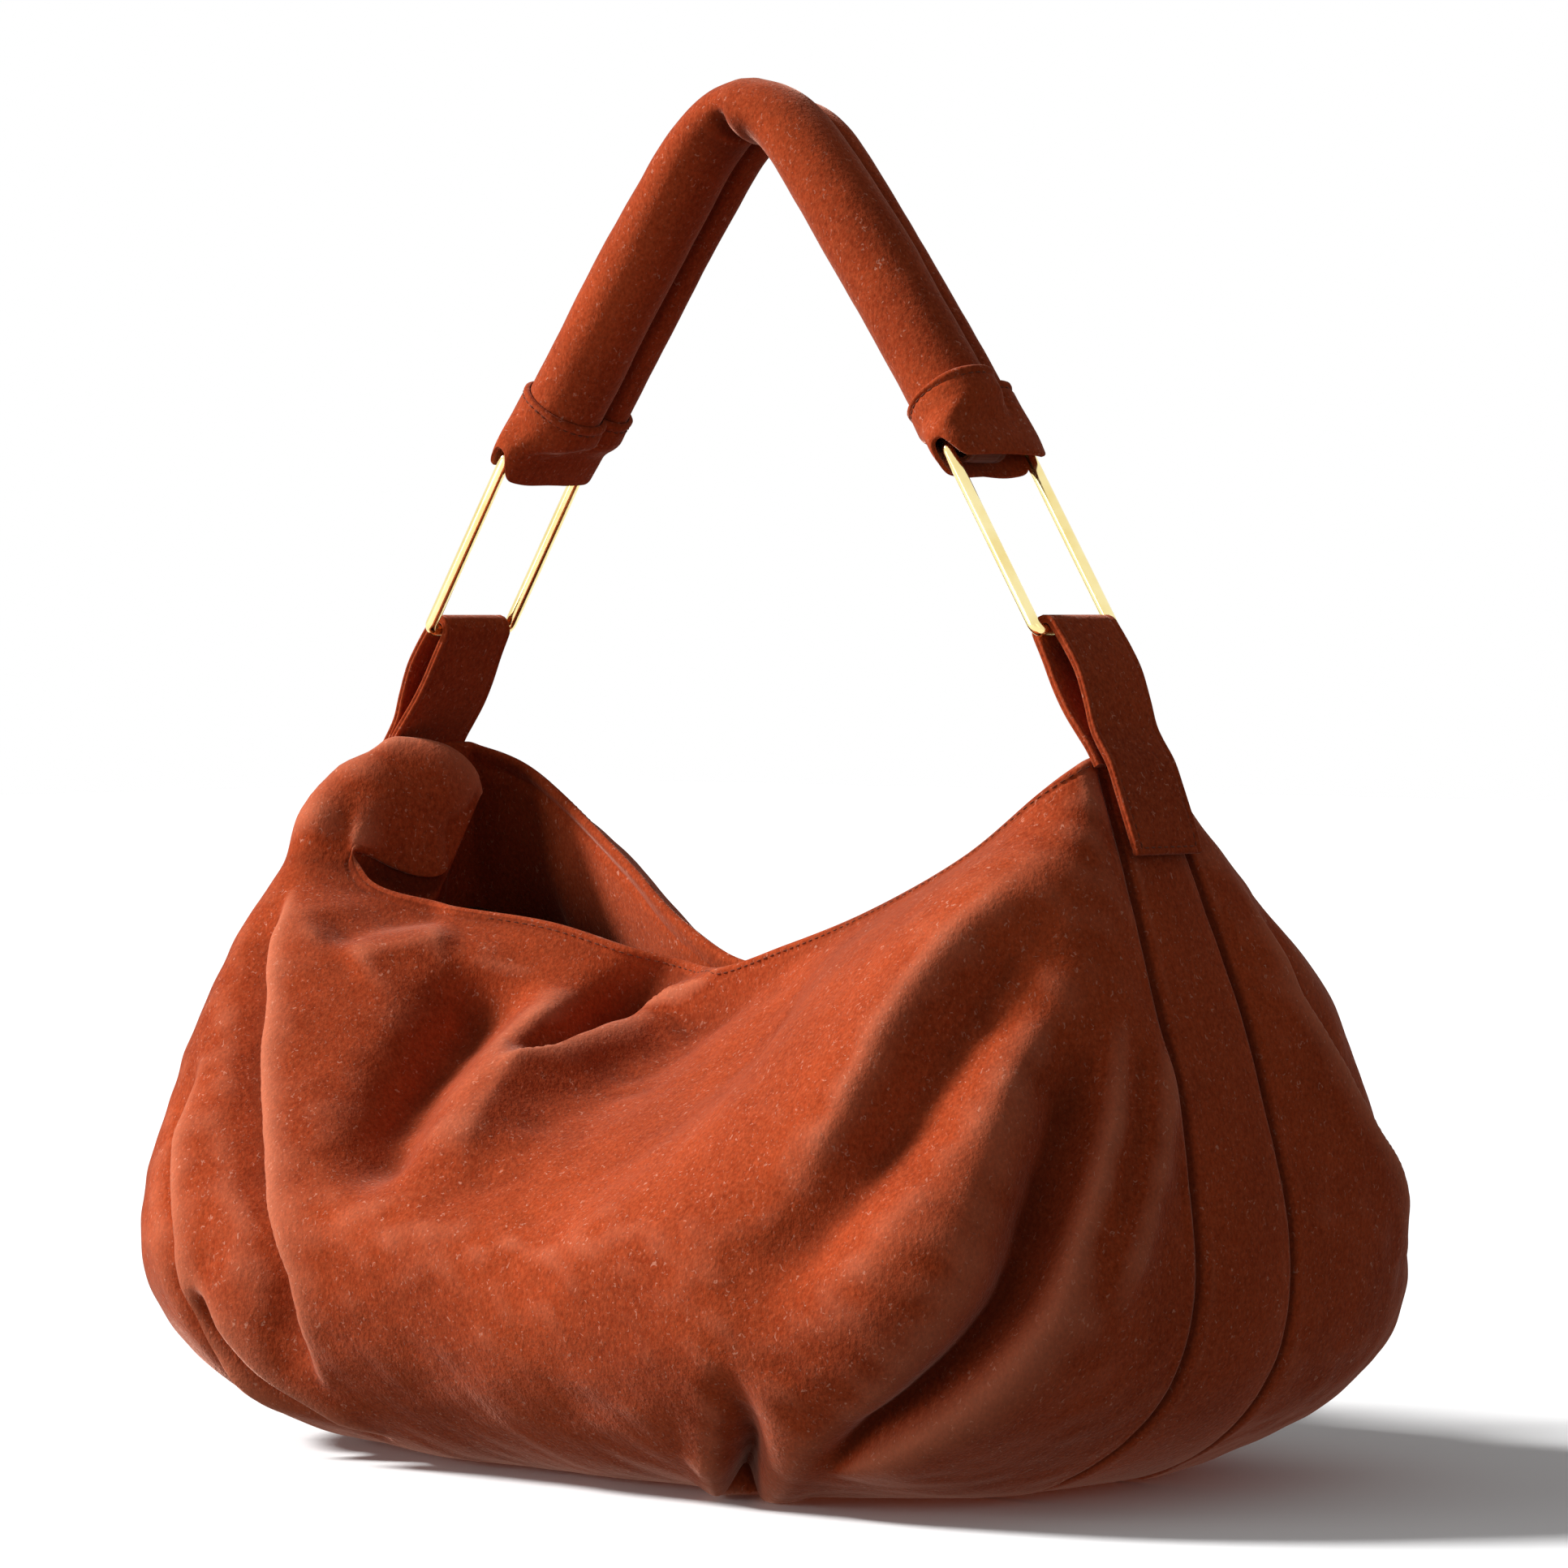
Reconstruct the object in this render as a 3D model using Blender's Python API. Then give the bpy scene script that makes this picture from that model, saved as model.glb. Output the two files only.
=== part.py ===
"""Slouchy hobo shoulder bag: suede panels, facings and lining, tab straps, wire rings and a padded handle.

Metres, +Z up. The bag stands on z = 0 with its base centred on the origin. X runs along the bag,
-Y is its front. Run with blender --background --python part.py, or from Blender's text editor.
"""

import math

import bmesh
import bpy
import numpy as np

FRONT, BACK = -1.0, 1.0
LEFT, RIGHT = -1.0, 1.0

# Body: its widest outline, the oval it stands on, and the shoulders that carry the tabs
HALF_LENGTH = 0.189
HALF_DEPTH = 0.127
WIDEST_Z = 0.066
WIDEST_POWER = 4.0
BASE_HALF_LENGTH = 0.110
BASE_HALF_DEPTH = 0.064
BASE_POWER = 3.0
GUSSET_HALF_WIDEST = 0.021
GUSSET_HALF_BASE = 0.027
GUSSET_CROWN = 0.0015

# The mouth's two rims, from left shoulder to centre and from centre to right shoulder
FRONT_RIM = (
    (-0.144, -0.012, 0.211),
    (-0.141, -0.024, 0.205),
    (-0.137, -0.037, 0.186),
    (-0.125, -0.044, 0.170),
    (-0.098, -0.039, 0.163),
    (-0.062, -0.027, 0.158),
    (-0.028, -0.018, 0.149),
    (0.000, -0.016, 0.146),
    (0.030, -0.018, 0.154),
    (0.064, -0.022, 0.165),
    (0.103, -0.025, 0.182),
    (0.130, -0.024, 0.200),
    (0.141, -0.019, 0.208),
    (0.144, -0.012, 0.211),
)
BACK_RIM = (
    (-0.144, 0.012, 0.211),
    (-0.140, 0.020, 0.210),
    (-0.115, 0.022, 0.202),
    (-0.067, 0.012, 0.177),
    (-0.032, 0.003, 0.158),
    (0.000, 0.000, 0.147),
    (0.032, 0.003, 0.154),
    (0.067, 0.012, 0.168),
    (0.103, 0.020, 0.185),
    (0.130, 0.022, 0.202),
    (0.141, 0.019, 0.209),
    (0.144, 0.012, 0.211),
)
FRONT_MIDDLE, BACK_MIDDLE = 7, 5  # the rims' points where the snap holds them
# How a body line bulges between rim and widest outline: its Bezier handles, as (across, down) shares
CENTRE_HANDLES = np.array(((0.22, 0.22), (1.00, 0.62)))
SEAM_HANDLES = np.array(((0.25, 0.17), (0.95, 0.72)))
CORNER_HANDLES = np.array(((0.50, 0.00), (0.85, 0.62)))
CORNER_SPAN = 0.75
HEM_DROP = 0.004  # straight drop below a rim, more at the centre, where the snap holds it
SNAP_DROP = 0.018
HEM_FOLD = 0.0015  # the panel turns outward over this height, below the hem
SNAP_REACH = 0.035

# Layers, counted inward from the outer surface
GAP = 0.0003
SUEDE = 0.0016
FACING_DEPTH = 0.0031
FACING = 0.0010
LINING = 0.0008
BOARD = 0.0020
BOARD_INSET = 0.006
FACING_ROWS = 4

# Magnetic snap
SNAP_BELOW_RIM = 0.011
SNAP_RADIUS = 0.008
STUD_PLATE = 0.0027
STUD_RADIUS = 0.0024
STUD_LENGTH = 0.0020
WASHER_RADIUS = 0.007
WASHER = 0.0005

# Rings: centre lines of the wire, leaning in towards the handle
WIRE_RADIUS = 0.0019
RING_LENGTH = 0.064
RING_WIDTH = 0.034
RING_CORNER = 0.0029
RING_LEAN = math.radians(33.0)
LOWER_BAR_X = 0.1245
LOWER_BAR_Z = 0.246

# Tab straps, folded over the rings' lower bars
STRAP = 0.0024
STRAP_HALF_WIDTH = 0.014
TAB_EYE = 0.0023
TAB_ROOT_HALF = 0.0027
TAB_ROOT = (0.1436, 0.2130)
TAB_FLEX = 0.016
TAB_SPLIT = 0.005
PATCH_LOW_Z = 0.183
PATCH_HIGH_Z = 0.2095

# Handle: its centre line on the right half, and its two-lobed section (across the arch, along Y)
HANDLE_LINE = (
    (0.0000, 0.4015),
    (0.0100, 0.3985),
    (0.0200, 0.3905),
    (0.0315, 0.3770),
    (0.0435, 0.3620),
    (0.0625, 0.3365),
)
ROLL_CENTRE, ROLL_RADIUS = (0.0, -0.003), 0.012
LOBE_CENTRE, LOBE_RADIUS = (-0.002, 0.0125), 0.0075
LOBE_MEETING = 0.007
COVER = 0.0013
APEX_FLATTEN = 0.28
APEX_SPREAD = 0.10
APEX_REACH = 0.030
COVER_END = 0.012  # distances up the leg from the upper bar's centre
CORE_END = 0.020
CUFF_TOP = 0.019
CUFF_LOBED = 0.0118
CUFF_FLAT = 0.0025
CUFF_BOTTOM = -0.0075
CUFF = 0.0013
CUFF_HALF_THICK = 0.0058
CUFF_HALF_WIDTH = 0.0194
LOOP_EYE = 0.0036
LOOP_STRAP = 0.0017
LOOP_HALF_WIDTH = 0.0075
LOOP_TAIL = 0.018

PANEL_COLUMNS = 12  # each side of the centre
GUSSET_COLUMNS = 2  # each side of the middle
UPPER_ROWS = 6
LOWER_ROWS = 5

for old in list(bpy.data.objects):
    bpy.data.objects.remove(old, do_unlink=True)

bag_parts = bpy.data.collections.new("hobo_bag")
cutters = bpy.data.collections.new("cutters")
bpy.context.scene.collection.children.link(bag_parts)
bpy.context.scene.collection.children.link(cutters)


# ---------------------------------------------------------------- materials


def principled(name, colour, roughness, metallic=0.0):
    material = bpy.data.materials.new(name)
    material.use_nodes = True
    shader = material.node_tree.nodes["Principled BSDF"]
    shader.inputs["Base Color"].default_value = (*colour, 1.0)
    shader.inputs["Roughness"].default_value = roughness
    shader.inputs["Metallic"].default_value = metallic
    return material


SUEDE_COLOUR = (0.30, 0.065, 0.020)
LINING_COLOUR = (0.16, 0.055, 0.030)
BOARD_COLOUR = (0.10, 0.08, 0.06)
FOAM_COLOUR = (0.75, 0.72, 0.62)
BRASS_COLOUR = (0.80, 0.58, 0.22)


# ---------------------------------------------------------------- curves and grids


def spline(points, samples=24):
    """A smooth curve through the points, sampled evenly between each pair."""
    p = np.array(points, float)
    ends = np.vstack([2 * p[0] - p[1], p, 2 * p[-1] - p[-2]])
    t = np.linspace(0.0, 1.0, samples, endpoint=False)[:, None]
    found = []
    for a, b, c, d in zip(ends, ends[1:], ends[2:], ends[3:]):
        cubic = 2 * b + (c - a) * t + (2 * a - 5 * b + 4 * c - d) * t**2
        found.append(0.5 * (cubic + (3 * b - a - 3 * c + d) * t**3))
    return np.vstack([*found, p[-1:]])


def at_fractions(line, fractions):
    """Points along a polyline at these fractions of its length."""
    steps = np.linalg.norm(np.diff(line, axis=0), axis=1)
    run = np.concatenate([[0.0], np.cumsum(steps)]) / steps.sum()
    return np.stack([np.interp(fractions, run, line[:, k]) for k in range(line.shape[1])], axis=1)


def superellipse_front(half_x, half_y, power, start_y):
    """The -Y half of a superellipse, from its left end to its right end, cut off at y = -start_y."""
    angle = np.linspace(0.0, math.pi, 400)
    x = -half_x * np.sign(np.cos(angle)) * np.abs(np.cos(angle)) ** (2 / power)
    y = -half_y * np.abs(np.sin(angle)) ** (2 / power)
    kept = np.stack([x, y], axis=1)[y <= -start_y]
    end_x = half_x * (1 - (start_y / half_y) ** power) ** (1 / power)
    return np.vstack([[-end_x, -start_y], kept, [end_x, -start_y]])


def bezier(p1, p2, t):
    """A cubic from (0, 0) to (1, 1) with these two handles."""
    t = np.asarray(t)[:, None]
    return 3 * t * (1 - t) ** 2 * np.array(p1) + 3 * t**2 * (1 - t) * np.array(p2) + t**3


def grid_normals(grid):
    """Outward unit normals of a grid of points, row by row from the rim down."""
    down = np.gradient(grid, axis=0)
    along = np.gradient(grid, axis=1)
    normal = np.cross(down, along)
    normal[:, [0, -1], 1] = 0.0  # the end columns lie on the plane between the halves
    return normal / np.linalg.norm(normal, axis=2, keepdims=True)


# ---------------------------------------------------------------- the body's surface


def meridian(rim, widest, base, share):
    """One line of the body from a rim point, over the widest outline, down to the base oval.

    The share runs from -1 at the left gusset's seam over 0 at the middle to 1 at the right seam.
    """
    centre = math.exp(-((rim[0] / SNAP_REACH) ** 2))
    hem = rim - np.array([0.0, 0.0, HEM_DROP + SNAP_DROP * centre])
    corner = math.sin(math.pi * min(1.0, (1 - abs(share)) / CORNER_SPAN))
    first = SEAM_HANDLES[0] + (CENTRE_HANDLES[0] - SEAM_HANDLES[0]) * (1 - abs(share))
    second = SEAM_HANDLES[1] + (CENTRE_HANDLES[1] - SEAM_HANDLES[1]) * (1 - abs(share))
    first = first + (CORNER_HANDLES[0] - first) * corner
    second = second + (CORNER_HANDLES[1] - second) * corner
    rows = [rim, hem + np.array([0.0, 0.0, HEM_FOLD])]
    for across, down in bezier(first, second, np.linspace(0.0, 1.0, UPPER_ROWS + 1)):
        plan = hem[:2] + (widest - hem[:2]) * across
        rows.append([*plan, hem[2] + (WIDEST_Z - hem[2]) * down])
    for angle in np.linspace(0.0, math.pi / 2, LOWER_ROWS + 1)[1:]:
        plan = widest + (base - widest) * (1 - math.cos(angle))
        rows.append([*plan, WIDEST_Z * (1 - math.sin(angle))])
    return np.array(rows)


def base_end(y):
    """How far the base oval reaches along X at this y."""
    return BASE_HALF_LENGTH * (1 - (np.abs(y) / BASE_HALF_DEPTH) ** BASE_POWER) ** (1 / BASE_POWER)


def half_body(side):
    """Rows by columns over one half of the body, from the left end's middle to the right end's.

    Columns 0 to GUSSET_COLUMNS are the left gusset's half, then the panel, then the right gusset's half.
    """
    points = FRONT_RIM if side == FRONT else BACK_RIM
    rim = spline(points)
    middle = int(np.argmin(np.abs(rim[:, 0])))
    share = np.linspace(-1.0, 1.0, 2 * PANEL_COLUMNS + 1)
    eased = 0.5 * (share + np.sin(share * math.pi / 2))
    rims = np.where(
        eased[:, None] < 0,
        at_fractions(rim[: middle + 1], 1 + eased),
        at_fractions(rim[middle:], eased),
    )
    widest_line = superellipse_front(HALF_LENGTH, HALF_DEPTH, WIDEST_POWER, GUSSET_HALF_WIDEST)
    base_line = superellipse_front(BASE_HALF_LENGTH, BASE_HALF_DEPTH, BASE_POWER, GUSSET_HALF_BASE)
    widest = at_fractions(widest_line, (share + 1) / 2)
    base = at_fractions(base_line, (share + 1) / 2)
    flip = np.array([1.0, -side])
    panel = [
        meridian(r, w * flip, b * flip, s)
        for r, w, b, s in zip(rims, widest, base, share)
    ]
    ends = []
    for edge, sign in ((panel[0], LEFT), (panel[-1], RIGHT)):
        half = []
        for k in range(GUSSET_COLUMNS):
            left_to_go = k / GUSSET_COLUMNS  # 0 on the middle line
            line = edge.copy()
            line[:, 1] = edge[:, 1] * left_to_go + side * GAP / 2 * (1 - left_to_go)
            to_base = np.clip(1 - line[:, 2] / WIDEST_Z, 0, 1) ** 2
            crown = GUSSET_CROWN * (1 - left_to_go**2) * (1 - to_base)
            bulge = base_end(line[:, 1]) - base_end(edge[:, 1])
            line[:, 0] += sign * (crown + bulge * to_base)
            half.append(line)
        ends.append(half if sign == LEFT else half[::-1])
    return np.array(ends[0] + panel + ends[1]).transpose(1, 0, 2)


HALVES = {side: half_body(side) for side in (FRONT, BACK)}
NORMALS = {
    side: grid_normals(grid) * (1.0 if side == FRONT else -1.0) for side, grid in HALVES.items()
}


def layer(side, depth, floor=0.0):
    """The half body's points moved inward by a depth, and none lower than the floor."""
    points = HALVES[side] - NORMALS[side] * depth
    points[..., 2] = np.maximum(points[..., 2], floor)
    return points


def pulled_in(grid, axis, first=True, last=True, by=GAP / 2):
    """The grid with its outermost rows or columns moved in by a gap, which leaves room for a seam."""
    g = np.moveaxis(grid.copy(), axis, 0)
    for wanted, edge, inner in ((first, 0, 1), (last, -1, -2)):
        if wanted:
            way = g[inner] - g[edge]
            g[edge] += way / np.linalg.norm(way, axis=-1, keepdims=True) * by
    return np.moveaxis(g, 0, axis)


# ---------------------------------------------------------------- solids


def finish_mesh(name, build, material, smooth_angle=40.0):
    bmesh.ops.recalc_face_normals(build, faces=build.faces)
    mesh = bpy.data.meshes.new(name)
    build.to_mesh(mesh)
    build.free()
    mesh.shade_smooth()
    mesh.set_sharp_from_angle(angle=math.radians(smooth_angle))
    mesh.materials.append(material)
    piece = bpy.data.objects.new(name, mesh)
    bag_parts.objects.link(piece)
    return piece


def sheet_solid(name, outer, inner, material):
    """A closed sheet between two grids of points, as a lofted panel with its own thickness."""
    rows, columns = outer.shape[:2]
    build = bmesh.new()
    faces = [[[build.verts.new(p) for p in row] for row in grid] for grid in (outer, inner)]
    for grid in faces:
        for i in range(rows - 1):
            for j in range(columns - 1):
                build.faces.new((grid[i][j], grid[i + 1][j], grid[i + 1][j + 1], grid[i][j + 1]))
    border = [(0, j) for j in range(columns)]
    border += [(i, columns - 1) for i in range(1, rows)]
    border += [(rows - 1, j) for j in range(columns - 2, -1, -1)]
    border += [(i, 0) for i in range(rows - 2, 0, -1)]
    for (a, b), (c, d) in zip(border, border[1:] + border[:1]):
        build.faces.new((faces[0][a][b], faces[0][c][d], faces[1][c][d], faces[1][a][b]))
    return finish_mesh(name, build, material)


def tube_solid(name, outer, inner, material):
    """A hollow tube through rings of points. With no inner rings it is solid, with flat ends."""
    build = bmesh.new()
    rings = [[build.verts.new(p) for p in ring] for ring in outer]
    if inner is None:
        build.faces.new(rings[0])
        build.faces.new(rings[-1])
    else:
        rings += [[build.verts.new(p) for p in ring] for ring in reversed(inner)]
        rings.append(rings[0])
    count = len(rings[0])
    for a, b in zip(rings, rings[1:]):
        for k in range(count):
            n = (k + 1) % count
            build.faces.new((a[k], a[n], b[n], b[k]))
    return finish_mesh(name, build, material, 60.0)


def turned_disc(name, radius, depth, material):
    """A flat disc with a small rounded edge, its axis along its own Z, centred on its origin."""
    bpy.ops.mesh.primitive_cylinder_add(vertices=20, radius=radius, depth=depth)
    disc = bpy.context.object
    disc.name = disc.data.name = name
    for collection in list(disc.users_collection):
        collection.objects.unlink(disc)
    bag_parts.objects.link(disc)
    disc.data.materials.append(material)
    disc.data.shade_smooth()
    disc.data.set_sharp_from_angle(angle=math.radians(40))
    return disc


def boolean(piece, cutter, operation):
    cutters.objects.link(cutter)
    bag_parts.objects.unlink(cutter)
    cutter.hide_render = True
    cutter.display_type = "WIRE"
    change = piece.modifiers.new(operation.title(), "BOOLEAN")
    change.object = cutter
    change.operation = operation
    change.solver = "EXACT"


def flat_outline(name, loops, half_thickness, material):
    """A flat outline in the X-Z plane, extruded along Y. Its later loops are holes."""
    curve = bpy.data.curves.new(name, "CURVE")
    curve.dimensions = "2D"
    curve.fill_mode = "BOTH"
    curve.extrude = half_thickness
    for loop in loops:
        line = curve.splines.new("POLY")
        line.points.add(len(loop) - 1)
        line.points.foreach_set("co", [c for x, z in loop for c in (x, z, 0.0, 1.0)])
        line.use_cyclic_u = True
    curve.materials.append(material)
    piece = bpy.data.objects.new(name, curve)
    piece.rotation_euler = (math.pi / 2, 0.0, 0.0)
    bag_parts.objects.link(piece)
    return piece


# ---------------------------------------------------------------- body pieces


def panels():
    for side, name, facing, lining in (
        (FRONT, "front_panel", "front_facing", "front_lining"),
        (BACK, "back_panel", "back_facing", "back_lining"),
    ):
        suede = principled(name + "_suede", SUEDE_COLOUR, 0.9)
        own = slice(GUSSET_COLUMNS, -GUSSET_COLUMNS)
        shell = [layer(side, depth)[:, own] for depth in (0.0, SUEDE)]
        shell = [pulled_in(pulled_in(g, 1, by=0.0004), 0, first=False) for g in shell]
        sheet_solid(name, *shell, suede)

        turned = principled(facing + "_suede", SUEDE_COLOUR, 0.9)
        rows = slice(0, FACING_ROWS + 1)
        shell = [layer(side, FACING_DEPTH + extra)[rows] for extra in (0.0, FACING)]
        sheet_solid(facing, *shell, turned)

        cloth = principled(lining + "_cloth", LINING_COLOUR, 0.8)
        shell = []
        for extra in (0.0, LINING):
            floor = SUEDE + BOARD + 2 * GAP + 0.0003 + extra
            grid = layer(side, FACING_DEPTH + extra, floor)[FACING_ROWS:]
            middle = grid[-1].copy()
            middle[:, 0] *= 0.9
            middle[:, 1] = side * GAP / 2
            middle[:, 2] = floor
            grid = np.concatenate([grid, middle[None]])
            shell.append(pulled_in(grid, 0, last=False, by=0.0005))
        sheet_solid(lining, *shell, cloth)


def gussets():
    for sign, name in ((LEFT, "left_gusset"), (RIGHT, "right_gusset")):
        suede = principled(name + "_suede", SUEDE_COLOUR, 0.9)
        shell = []
        for depth in (0.0, SUEDE):
            front, back = layer(FRONT, depth), layer(BACK, depth)
            if sign == LEFT:
                front, back = front[:, : GUSSET_COLUMNS + 1], back[:, : GUSSET_COLUMNS + 1]
            else:
                front = front[:, -GUSSET_COLUMNS - 1 :][:, ::-1]
                back = back[:, -GUSSET_COLUMNS - 1 :][:, ::-1]
            middle = 0.5 * (front[:, :1] + back[:, :1])
            strip = np.concatenate([front[:, :0:-1], middle, back[:, 1:]], axis=1)
            shell.append(pulled_in(pulled_in(strip, 1, by=0.0004), 0, first=False))
        sheet_solid(name, *shell, suede)


def oval(half_x, half_y, power, count=48):
    angle = np.arange(count) * 2 * math.pi / count
    x = half_x * np.sign(np.cos(angle)) * np.abs(np.cos(angle)) ** (2 / power)
    y = half_y * np.sign(np.sin(angle)) * np.abs(np.sin(angle)) ** (2 / power)
    return list(zip(x, y))


def base():
    """The flat oval that the bag stands on, and the stiffener board above it."""
    for name, colour, low, thick, inset in (
        ("base_panel", SUEDE_COLOUR, 0.0, SUEDE, 2.5 * GAP),
        ("base_board", BOARD_COLOUR, SUEDE + GAP, BOARD, BOARD_INSET),
    ):
        outline = oval(BASE_HALF_LENGTH - inset, BASE_HALF_DEPTH - inset, BASE_POWER)
        piece = flat_outline(name, [outline], thick / 2, principled(name, colour, 0.9))
        piece.rotation_euler = (0.0, 0.0, 0.0)
        piece.location = (0.0, 0.0, low + thick / 2)


def snap():
    """Two magnetic halves on the facings at the middle of the rims, and the washer behind each."""
    brass = principled("snap_metal", BRASS_COLOUR, 0.3, 1.0)
    height = 0.5 * (FRONT_RIM[FRONT_MIDDLE][2] + BACK_RIM[BACK_MIDDLE][2]) - SNAP_BELOW_RIM
    front_face = FRONT_RIM[FRONT_MIDDLE][1] + FACING_DEPTH + FACING + GAP
    back_face = BACK_RIM[BACK_MIDDLE][1] - FACING_DEPTH - FACING - GAP
    stud_face = front_face + STUD_PLATE
    socket_plate = back_face - stud_face - GAP

    def disc(name, radius, low_y, depth):
        piece = turned_disc(name, radius, depth, brass)
        piece.rotation_euler = (math.pi / 2, 0.0, 0.0)
        piece.location = (0.0, low_y + depth / 2, height)
        return piece

    stud = disc("snap_stud", SNAP_RADIUS, front_face, STUD_PLATE)
    boolean(stud, disc("stud_pin", STUD_RADIUS, stud_face - 0.001, STUD_LENGTH + 0.001), "UNION")
    socket = disc("snap_socket", SNAP_RADIUS, stud_face + GAP, socket_plate)
    hole = disc("socket_hole", STUD_RADIUS + 0.0004, stud_face - 0.001, STUD_LENGTH + 0.0015)
    boolean(socket, hole, "DIFFERENCE")
    disc("snap_front_washer", WASHER_RADIUS, FRONT_RIM[FRONT_MIDDLE][1] + SUEDE + GAP, WASHER)
    disc("snap_back_washer", WASHER_RADIUS, BACK_RIM[BACK_MIDDLE][1] - SUEDE - GAP - WASHER, WASHER)


# ---------------------------------------------------------------- tabs and rings


def leg_frame(sign):
    """The tab's root, the way up its leg and the way across it, outward, in the X-Z plane."""
    root = np.array([sign * TAB_ROOT[0], TAB_ROOT[1]])
    bar = np.array([sign * LOWER_BAR_X, LOWER_BAR_Z])
    length = np.linalg.norm(bar - root)
    up = (bar - root) / length
    out = sign * np.array([up[1], -up[0]])
    return root, up, out, length


def arc(centre_up, radius, start, stop, count):
    angles = np.linspace(start, stop, count)
    return [(radius * math.cos(a), centre_up + radius * math.sin(a)) for a in angles]


def tabs():
    for sign, side in ((LEFT, "left"), (RIGHT, "right")):
        suede = principled(side + "_tab_suede", SUEDE_COLOUR, 0.9)
        root, up, out, length = leg_frame(sign)

        def placed(points):
            return [tuple(root + out * across + up * along) for across, along in points]

        outside = TAB_EYE + STRAP
        flex_half = TAB_ROOT_HALF + (outside - TAB_ROOT_HALF) * TAB_FLEX / length
        flex_eye = flex_half - STRAP
        slit = GAP / 2
        flex = [(-TAB_ROOT_HALF, 0.0), (TAB_ROOT_HALF, 0.0), (flex_half, TAB_FLEX)]
        flex += [(flex_eye, TAB_FLEX), (slit, TAB_SPLIT), (-slit, TAB_SPLIT)]
        flex += [(-flex_eye, TAB_FLEX), (-flex_half, TAB_FLEX)]
        flat_outline(side + "_tab_flex", [placed(flex)], STRAP_HALF_WIDTH, suede)

        start = TAB_FLEX + GAP
        tilt = math.asin((outside - TAB_ROOT_HALF) / length)
        loop = [(flex_half, start), *arc(length, outside, -tilt, math.pi + tilt, 13)]
        loop += [(-flex_half, start), (-flex_eye, start)]
        loop += [*arc(length, TAB_EYE, math.pi + tilt, -tilt, 13), (flex_eye, start)]
        flat_outline(side + "_tab_loop", [placed(loop)], STRAP_HALF_WIDTH, suede)

        end_line = HALVES[FRONT][:, 0] if sign == LEFT else HALVES[FRONT][:, -1]
        heights = np.linspace(PATCH_LOW_Z, PATCH_HIGH_Z, 4)
        reach = np.interp(-heights, -end_line[:, 2], np.abs(end_line[:, 0])) + GAP
        rise = np.linspace(0.0, 0.0012, 4)
        inner = [(sign * (x + 0.0004), z) for x, z in zip(reach, heights)]
        outer = [(sign * (x + 0.0004 + STRAP), z + r) for x, z, r in zip(reach, heights, rise)]
        flat_outline(side + "_tab_patch", [inner + outer[::-1]], STRAP_HALF_WIDTH, suede)


def rings():
    """Rectangular wire rings, each with its origin on its lower bar."""
    brass = principled("ring_brass", BRASS_COLOUR, 0.2, 1.0)
    corners = (
        (RING_WIDTH / 2, RING_LENGTH, 0.0),
        (-RING_WIDTH / 2, RING_LENGTH, math.pi / 2),
        (-RING_WIDTH / 2, 0.0, math.pi),
        (RING_WIDTH / 2, 0.0, 3 * math.pi / 2),
    )
    route = []
    for y, z, first in corners:
        centre_y = y - math.copysign(RING_CORNER, y)
        centre_z = z + (RING_CORNER if z == 0.0 else -RING_CORNER)
        for step in range(5):
            angle = first + step * math.pi / 8
            across, up = RING_CORNER * math.cos(angle), RING_CORNER * math.sin(angle)
            route.append((0.0, centre_y + across, centre_z + up))
    for sign, side in ((LEFT, "left"), (RIGHT, "right")):
        curve = bpy.data.curves.new(side + "_ring", "CURVE")
        curve.dimensions = "3D"
        curve.bevel_depth = WIRE_RADIUS
        curve.bevel_resolution = 2
        line = curve.splines.new("POLY")
        line.points.add(len(route) - 1)
        line.points.foreach_set("co", [c for p in route for c in (*p, 1.0)])
        line.use_cyclic_u = True
        curve.materials.append(brass)
        ring = bpy.data.objects.new(side + "_ring", curve)
        ring.location = (sign * LOWER_BAR_X, 0.0, LOWER_BAR_Z)
        ring.rotation_euler = (0.0, -sign * RING_LEAN, 0.0)
        bag_parts.objects.link(ring)


# ---------------------------------------------------------------- handle

UPPER_BAR = (
    LOWER_BAR_X - RING_LENGTH * math.sin(RING_LEAN),
    LOWER_BAR_Z + RING_LENGTH * math.cos(RING_LEAN),
)


def handle_route():
    """The whole centre line in the X-Z plane, from the left upper bar over the apex to the right one."""
    right = spline([*HANDLE_LINE, UPPER_BAR])
    return np.vstack([right[:0:-1] * [-1.0, 1.0], right])


def lobed(grow, count=18):
    """The two-lobed outline as (across the arch, along Y), read from where both lobes overlap."""
    angles = np.arange(count) * 2 * math.pi / count
    centre = np.array([-0.001, LOBE_MEETING])
    found = []
    for way in np.stack([np.cos(angles), np.sin(angles)], axis=1):
        reach = 0.0
        for middle, radius in ((ROLL_CENTRE, ROLL_RADIUS), (LOBE_CENTRE, LOBE_RADIUS)):
            to_middle = np.array(middle) - centre
            along = way @ to_middle
            inside = (radius + grow) ** 2 - (to_middle @ to_middle - along**2)
            if inside > 0:
                reach = max(reach, along + math.sqrt(inside))
        found.append(centre + way * reach)
    return np.array(found)


def rounded(half_p, half_q, count=18):
    angles = np.arange(count) * 2 * math.pi / count
    p = half_p * np.sign(np.cos(angles)) * np.abs(np.cos(angles)) ** 0.6
    q = half_q * np.sign(np.sin(angles)) * np.abs(np.sin(angles)) ** 0.6
    return np.stack([p, q], axis=1)


def station(route, fraction):
    """A point of the route, and the way across the arch there, outward."""
    here = at_fractions(route, np.array([fraction]))[0]
    ahead = at_fractions(route, np.array([fraction + 0.004, fraction - 0.004]))
    way = (ahead[0] - ahead[1]) / np.linalg.norm(ahead[0] - ahead[1])
    return here, np.array([-way[1], way[0]])


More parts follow.
